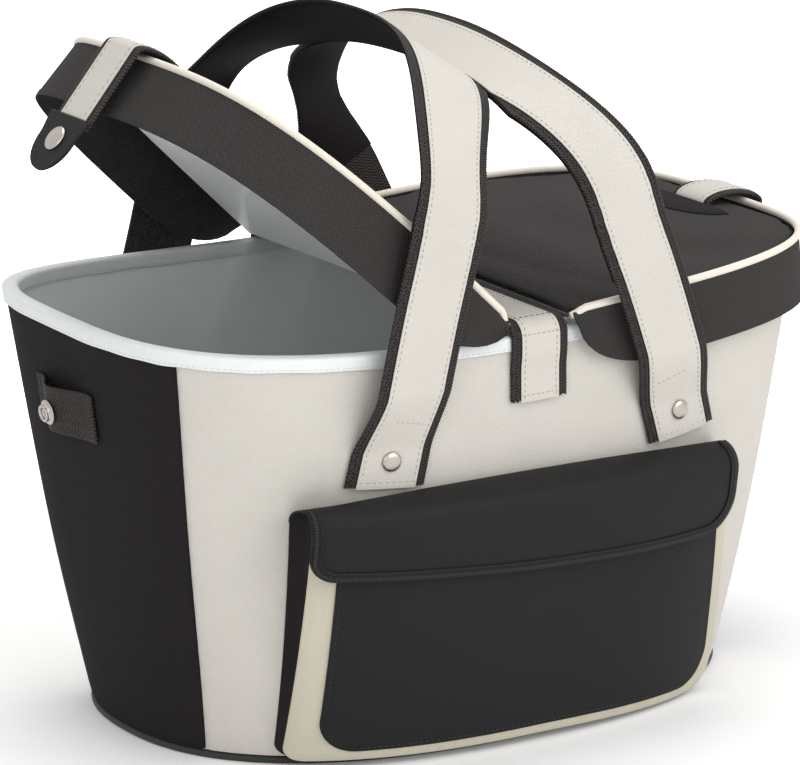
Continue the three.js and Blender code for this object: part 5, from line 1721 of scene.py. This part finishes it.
def over_fold(piece, side, stands_for=()):
    """Bakes where the piece stands into its points and hides the CAD nodes that it stands for."""
    fold = [xyz(PULL_FACE + WEBBING / 2, 0, TAB["root"] + dz) for dz in FOLD_SPAN]
    start, end = [tuple(at_side(side, at) * MM) for at in fold]
    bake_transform(piece)
    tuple(start)
    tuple(end)
    if stands_for:
        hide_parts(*stands_for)
    made_pieces.append(piece.name)


def spade_surface(u, v, lift):
    """The tab's end, from its round tip (u = 0) to its shoulder, with rolled side edges."""
    u, v = np.broadcast_arrays(u, v)
    z = lerp(TAB["tip"], TAB["shoulder"], 1 - (1 - u) ** 1.6)
    round_end = np.clip((z - TAB["tip"]) / TAB["half"], 0, 1)
    wide = lerp(TAB["half"], TAB["shoulder_half"], ease(z, TAB["cap"], TAB["shoulder"]))
    lift = lift + EDGE_ROLL * np.exp(-((1 - np.abs(2 * v - 1)) / 0.12) ** 2)
    round_off = np.sqrt(np.maximum(0, 1 - (1 - round_end) ** 2))
    return xyz(PULL_FACE + lift, (2 * v - 1) * wide * round_off, z)


def drilled(piece, at, axis, radius):
    """Round hole through a thin piece, cut with a cylinder and baked."""
    cutter = turned("cutter", [(0, -6), (radius, -6), (radius, 6), (0, 6)], at, axis, None, 28)
    cut = piece.modifiers.new("hole", "BOOLEAN")
    cut.object, cut.operation, cut.solver = cutter, "DIFFERENCE", "EXACT"
    bake(piece)
    bpy.data.objects.remove(cutter)


print("tab hangs", round(PULL_FACE, 1), "mm from the middle and is", 2 * TAB["half"], "mm wide")


# %% Pull straps, tabs and snap caps
CAP_PROFILE = [(0, 1.1), (4.6, 0.8), (4.9, 0), (7.5, 0), (7.6, 0.5), (6.9, 1.2), (5.6, 1.5),
    (5.2, 1.3), (3.6, 1.9), (0, 2.3)]
COVER_IN, TUCKED_IN, PULL_YARN = 5, 5, 2.4
spade_low, spade_high = WEBBING + GAP, 2 * WEBBING + GAP
spade_us, pull_us = np.linspace(0, 1, 40) ** 1.5, np.linspace(0.01, 0.96, 160)

for side in ("right", "left"):
    tab_body = f"{side}_tab"
    pull = on_side(side, pull_rule(TAB["half"], TAB["shoulder"] - TUCKED_IN))
    cover = on_side(side, pull_rule(TAB["half"] - COVER_IN, TAB["shoulder"] + GAP))
    over_fold(thin_body(f"{side}_pull_strap", pull, 90, 11, 0, WEBBING, black_webbing, strap=True),
        side, (f"{side}_pull_webbing", f"{side}_tab_webbing"))
    over_fold(thin_body(f"{side}_pull_cover", cover, 90, 9, overlay_low, overlay_high, cream_canvas,
        strap=True), side, (f"{side}_pull_overlay", f"{side}_tab_overlay"))
    spade = on_side(side, spade_surface)
    tab = thin_body(f"{side}_tab_spade", spade, spade_us, 15, spade_low, spade_high, coated_cloth)
    spot = xyz(PULL_FACE + 2 * WEBBING + 2 * GAP, 0, TAB["cap"])
    spot, tip = at_side(side, spot), at_side(side, spot + np.array([10, 0, 0]))
    drilled(tab, spot, tip - spot, TAB["hole"])
    clean(tab.data, merge=False)
    place(tab, tab_body, f"{side}_tab_end", "pocket_black")
    place(turned(f"{side}_snap_button", CAP_PROFILE, spot, tip - spot, satin_nickel), tab_body,
        f"{side}_snap_cap", "nickel")
    yarn_rows = edge_rows(pull, pull_us, 0.1)
    over_fold(woven_edge(f"{side}_pull_edge_ribs", *yarn_rows, across=PULL_YARN), side)
    cover_rows = [row(cover, pull_us, v, thread_at) for v in (0.1, 0.9)]
    over_fold(beads(f"{side}_pull_stitches", cover_rows, cream_thread, 4.2, (3.1, 0.75, 0.6)), side)
    around_tab = [row(spade, np.linspace(0.12, 0.93, 60), v, spade_high + THREAD_LIFT)
        for v in (0.1, 0.9)]
    around_tab.append(row(spade, 0.93, np.linspace(0.1, 0.9, 20), spade_high + THREAD_LIFT))
    stitches(f"{side}_tab_stitches", around_tab, black_thread, tab_body, "pocket_black", pitch=3.0,
        size=(2.2, 0.6, 0.5))
print("pull strap pieces:", sum("_pull_" in name for name in made_pieces))

# %% [markdown]
# ## End loops and studs
#
# A band of webbing is sewn flat at both ends and bows out between them, and carries the stud.

# %% End loops
SEWN_END, NARROWED, LEAN_SPAN = 6, 0.06, 5
STUD_PROFILE = [(0, 0), (7.2, 0), (7.3, 0.7), (5.6, 1.2), (4.9, 2.4), (5.1, 3.3), (4.4, 3.8),
    (3.3, 3.6), (3.0, 1.6), (1.2, 1.3), (0, 1.3)]


def loop_rule(sign):
    """A band along the wall of one end (sign -1 is the left one), which bows out in its middle."""
    def surface(u, v, lift):
        u, v = np.broadcast_arrays(u, v)
        y = lerp(-LOOP["front"], LOOP["rear"], u)
        reach = np.where(y < 0, LOOP["front"], LOOP["rear"]) - SEWN_END
        free = np.clip(np.abs(y) / reach, 0, 1)
        half = LOOP["half"] * (1 - NARROWED * (1 - free))
        z = LOOP["z"] + LOOP["up"] + (2 * v - 1) * half
        bow = LOOP["bow"][sign] * np.cos(np.pi / 2 * free) ** 2
        return xyz(sign * (wall_x(LOOP["y"] + y, z) + 1.5 * GAP + bow + lift), LOOP["y"] + y, z)
    return surface


for sign, side in SIDES:
    band = loop_rule(sign)
    place(thin_body(f"{side}_loop_band", band, 90, 11, 0, WEBBING, black_webbing, strap=True), "tub",
        f"{side}_end_loop", "black_webbing")
    above, below = [wall_x(LOOP["y"], LOOP["z"] + way * LEAN_SPAN) for way in (1, -1)]
    lean = float(above - below) / (2 * LEAN_SPAN)
    spot = (sign * STUD_FOOT[sign], LOOP["y"], LOOP["z"])
    place(turned(f"{side}_stud_metal", STUD_PROFILE, spot, (sign, 0, -lean), satin_nickel), "tub",
        f"{side}_snap_stud", "nickel")
    tacks = [row(band, np.full(20, u), np.linspace(0.08, 0.92, 20), WEBBING + THREAD_LIFT)
        for u in (0.03, 0.08, 0.92, 0.97)]
    stitches(f"{side}_loop_stitches", tacks, black_thread, "tub", "black_webbing", pitch=2.6,
        size=(2.0, 0.7, 0.6))
print("loops stand off by", LOOP["bow"], "mm")

# %% [markdown]
# ## Floor and light
#
# The photograph is a studio picture on white. A pale floor takes the bag's shadow, and it glows
# for the camera further off, so that its far edge never shows. The world is white to the camera
# and to reflections but gives only a gentle fill, so cream stays cream.

# %% Floor
GLOW_FROM, GLOW_TO, FLOOR_GLOW = 0.3, 0.7, 0.08
floor_paint, tree, surface = material("pale_matt_floor")
spot_at = add(tree, "ShaderNodeTexCoord")
speck = add(tree, "ShaderNodeTexNoise", {"Vector": spot_at.outputs["Object"], "Scale": 3.0})
pale = add(tree, "ShaderNodeMix",
    {0: speck.outputs[0], 6: linear("#fafafa"), 7: linear("#ffffff")}, data_type="RGBA")
away = add(tree, "ShaderNodeVectorMath", {0: spot_at.outputs["Object"]}, operation="LENGTH")
fade = add(tree, "ShaderNodeMapRange",
    {0: away.outputs["Value"], 1: GLOW_FROM, 2: GLOW_TO, 3: FLOOR_GLOW, 4: 1.0},
    interpolation_type="SMOOTHSTEP")
looked = add(tree, "ShaderNodeLightPath")
shine = add(tree, "ShaderNodeMapRange",
    {0: looked.outputs["Is Camera Ray"], 3: FLOOR_GLOW, 4: fade.outputs[0]})
fill(tree, surface, {"Base Color": pale.outputs[2], "Roughness": 0.9,
    "Emission Color": linear("#ffffff"), "Emission Strength": shine.outputs[0]})
sheet_mesh = bpy.data.meshes.new("floor")
sheet_mesh.from_pydata([(-6, -5, 0), (6, -5, 0), (6, 9, 0), (-6, 9, 0)], [], [(0, 1, 2, 3)])
sheet_mesh.materials.append(floor_paint)
linked("floor", sheet_mesh)
print("floor glows in full from", GLOW_TO, "m on")

# %% World and lamps
FILL_LIGHT = 0.55
world = bpy.data.worlds.new("studio")
bpy.context.scene.world = world
world.use_nodes = True
sky = world.node_tree
sky.nodes.clear()
rays = add(sky, "ShaderNodeLightPath")
seen = rays.outputs["Is Camera Ray"]
for kind in ("Is Glossy Ray", "Is Transmission Ray"):
    seen = add(sky, "ShaderNodeMath", {0: seen, 1: rays.outputs[kind]}, operation="MAXIMUM").outputs[0]
strength = add(sky, "ShaderNodeMapRange", {0: seen, 3: FILL_LIGHT, 4: 1.0})
glow = add(sky, "ShaderNodeBackground", {"Color": (1, 1, 1, 1), "Strength": strength.outputs[0]})
add(sky, "ShaderNodeOutputWorld", {0: glow.outputs[0]})


def lamp(name, at, size, power):
    """A square lamp that looks at the bag's middle."""
    light = bpy.data.lights.new(name, "AREA")
    light.shape, light.size, light.energy = "SQUARE", size, power
    way = Vector(at) - Vector((0, 0, 0.2))
    turn = way.to_track_quat("Z", "Y").to_matrix().to_4x4()
    linked(name, light).matrix_world = Matrix.Translation(at) @ turn


lamp("key", (0.9, -2.6, 2.0), 3.4, 67)
lamp("fill", (-2.4, -1.4, 1.5), 1.8, 12)
lamp("top", (0.2, 0.6, 2.6), 1.8, 30)
bpy.context.scene.view_settings.view_transform = "Standard"
print("lamps:", [light.name for light in bpy.data.lights])

# %% [markdown]
# ## Count of pieces

# %% Count of pieces
print("pieces made:", len(made_pieces))
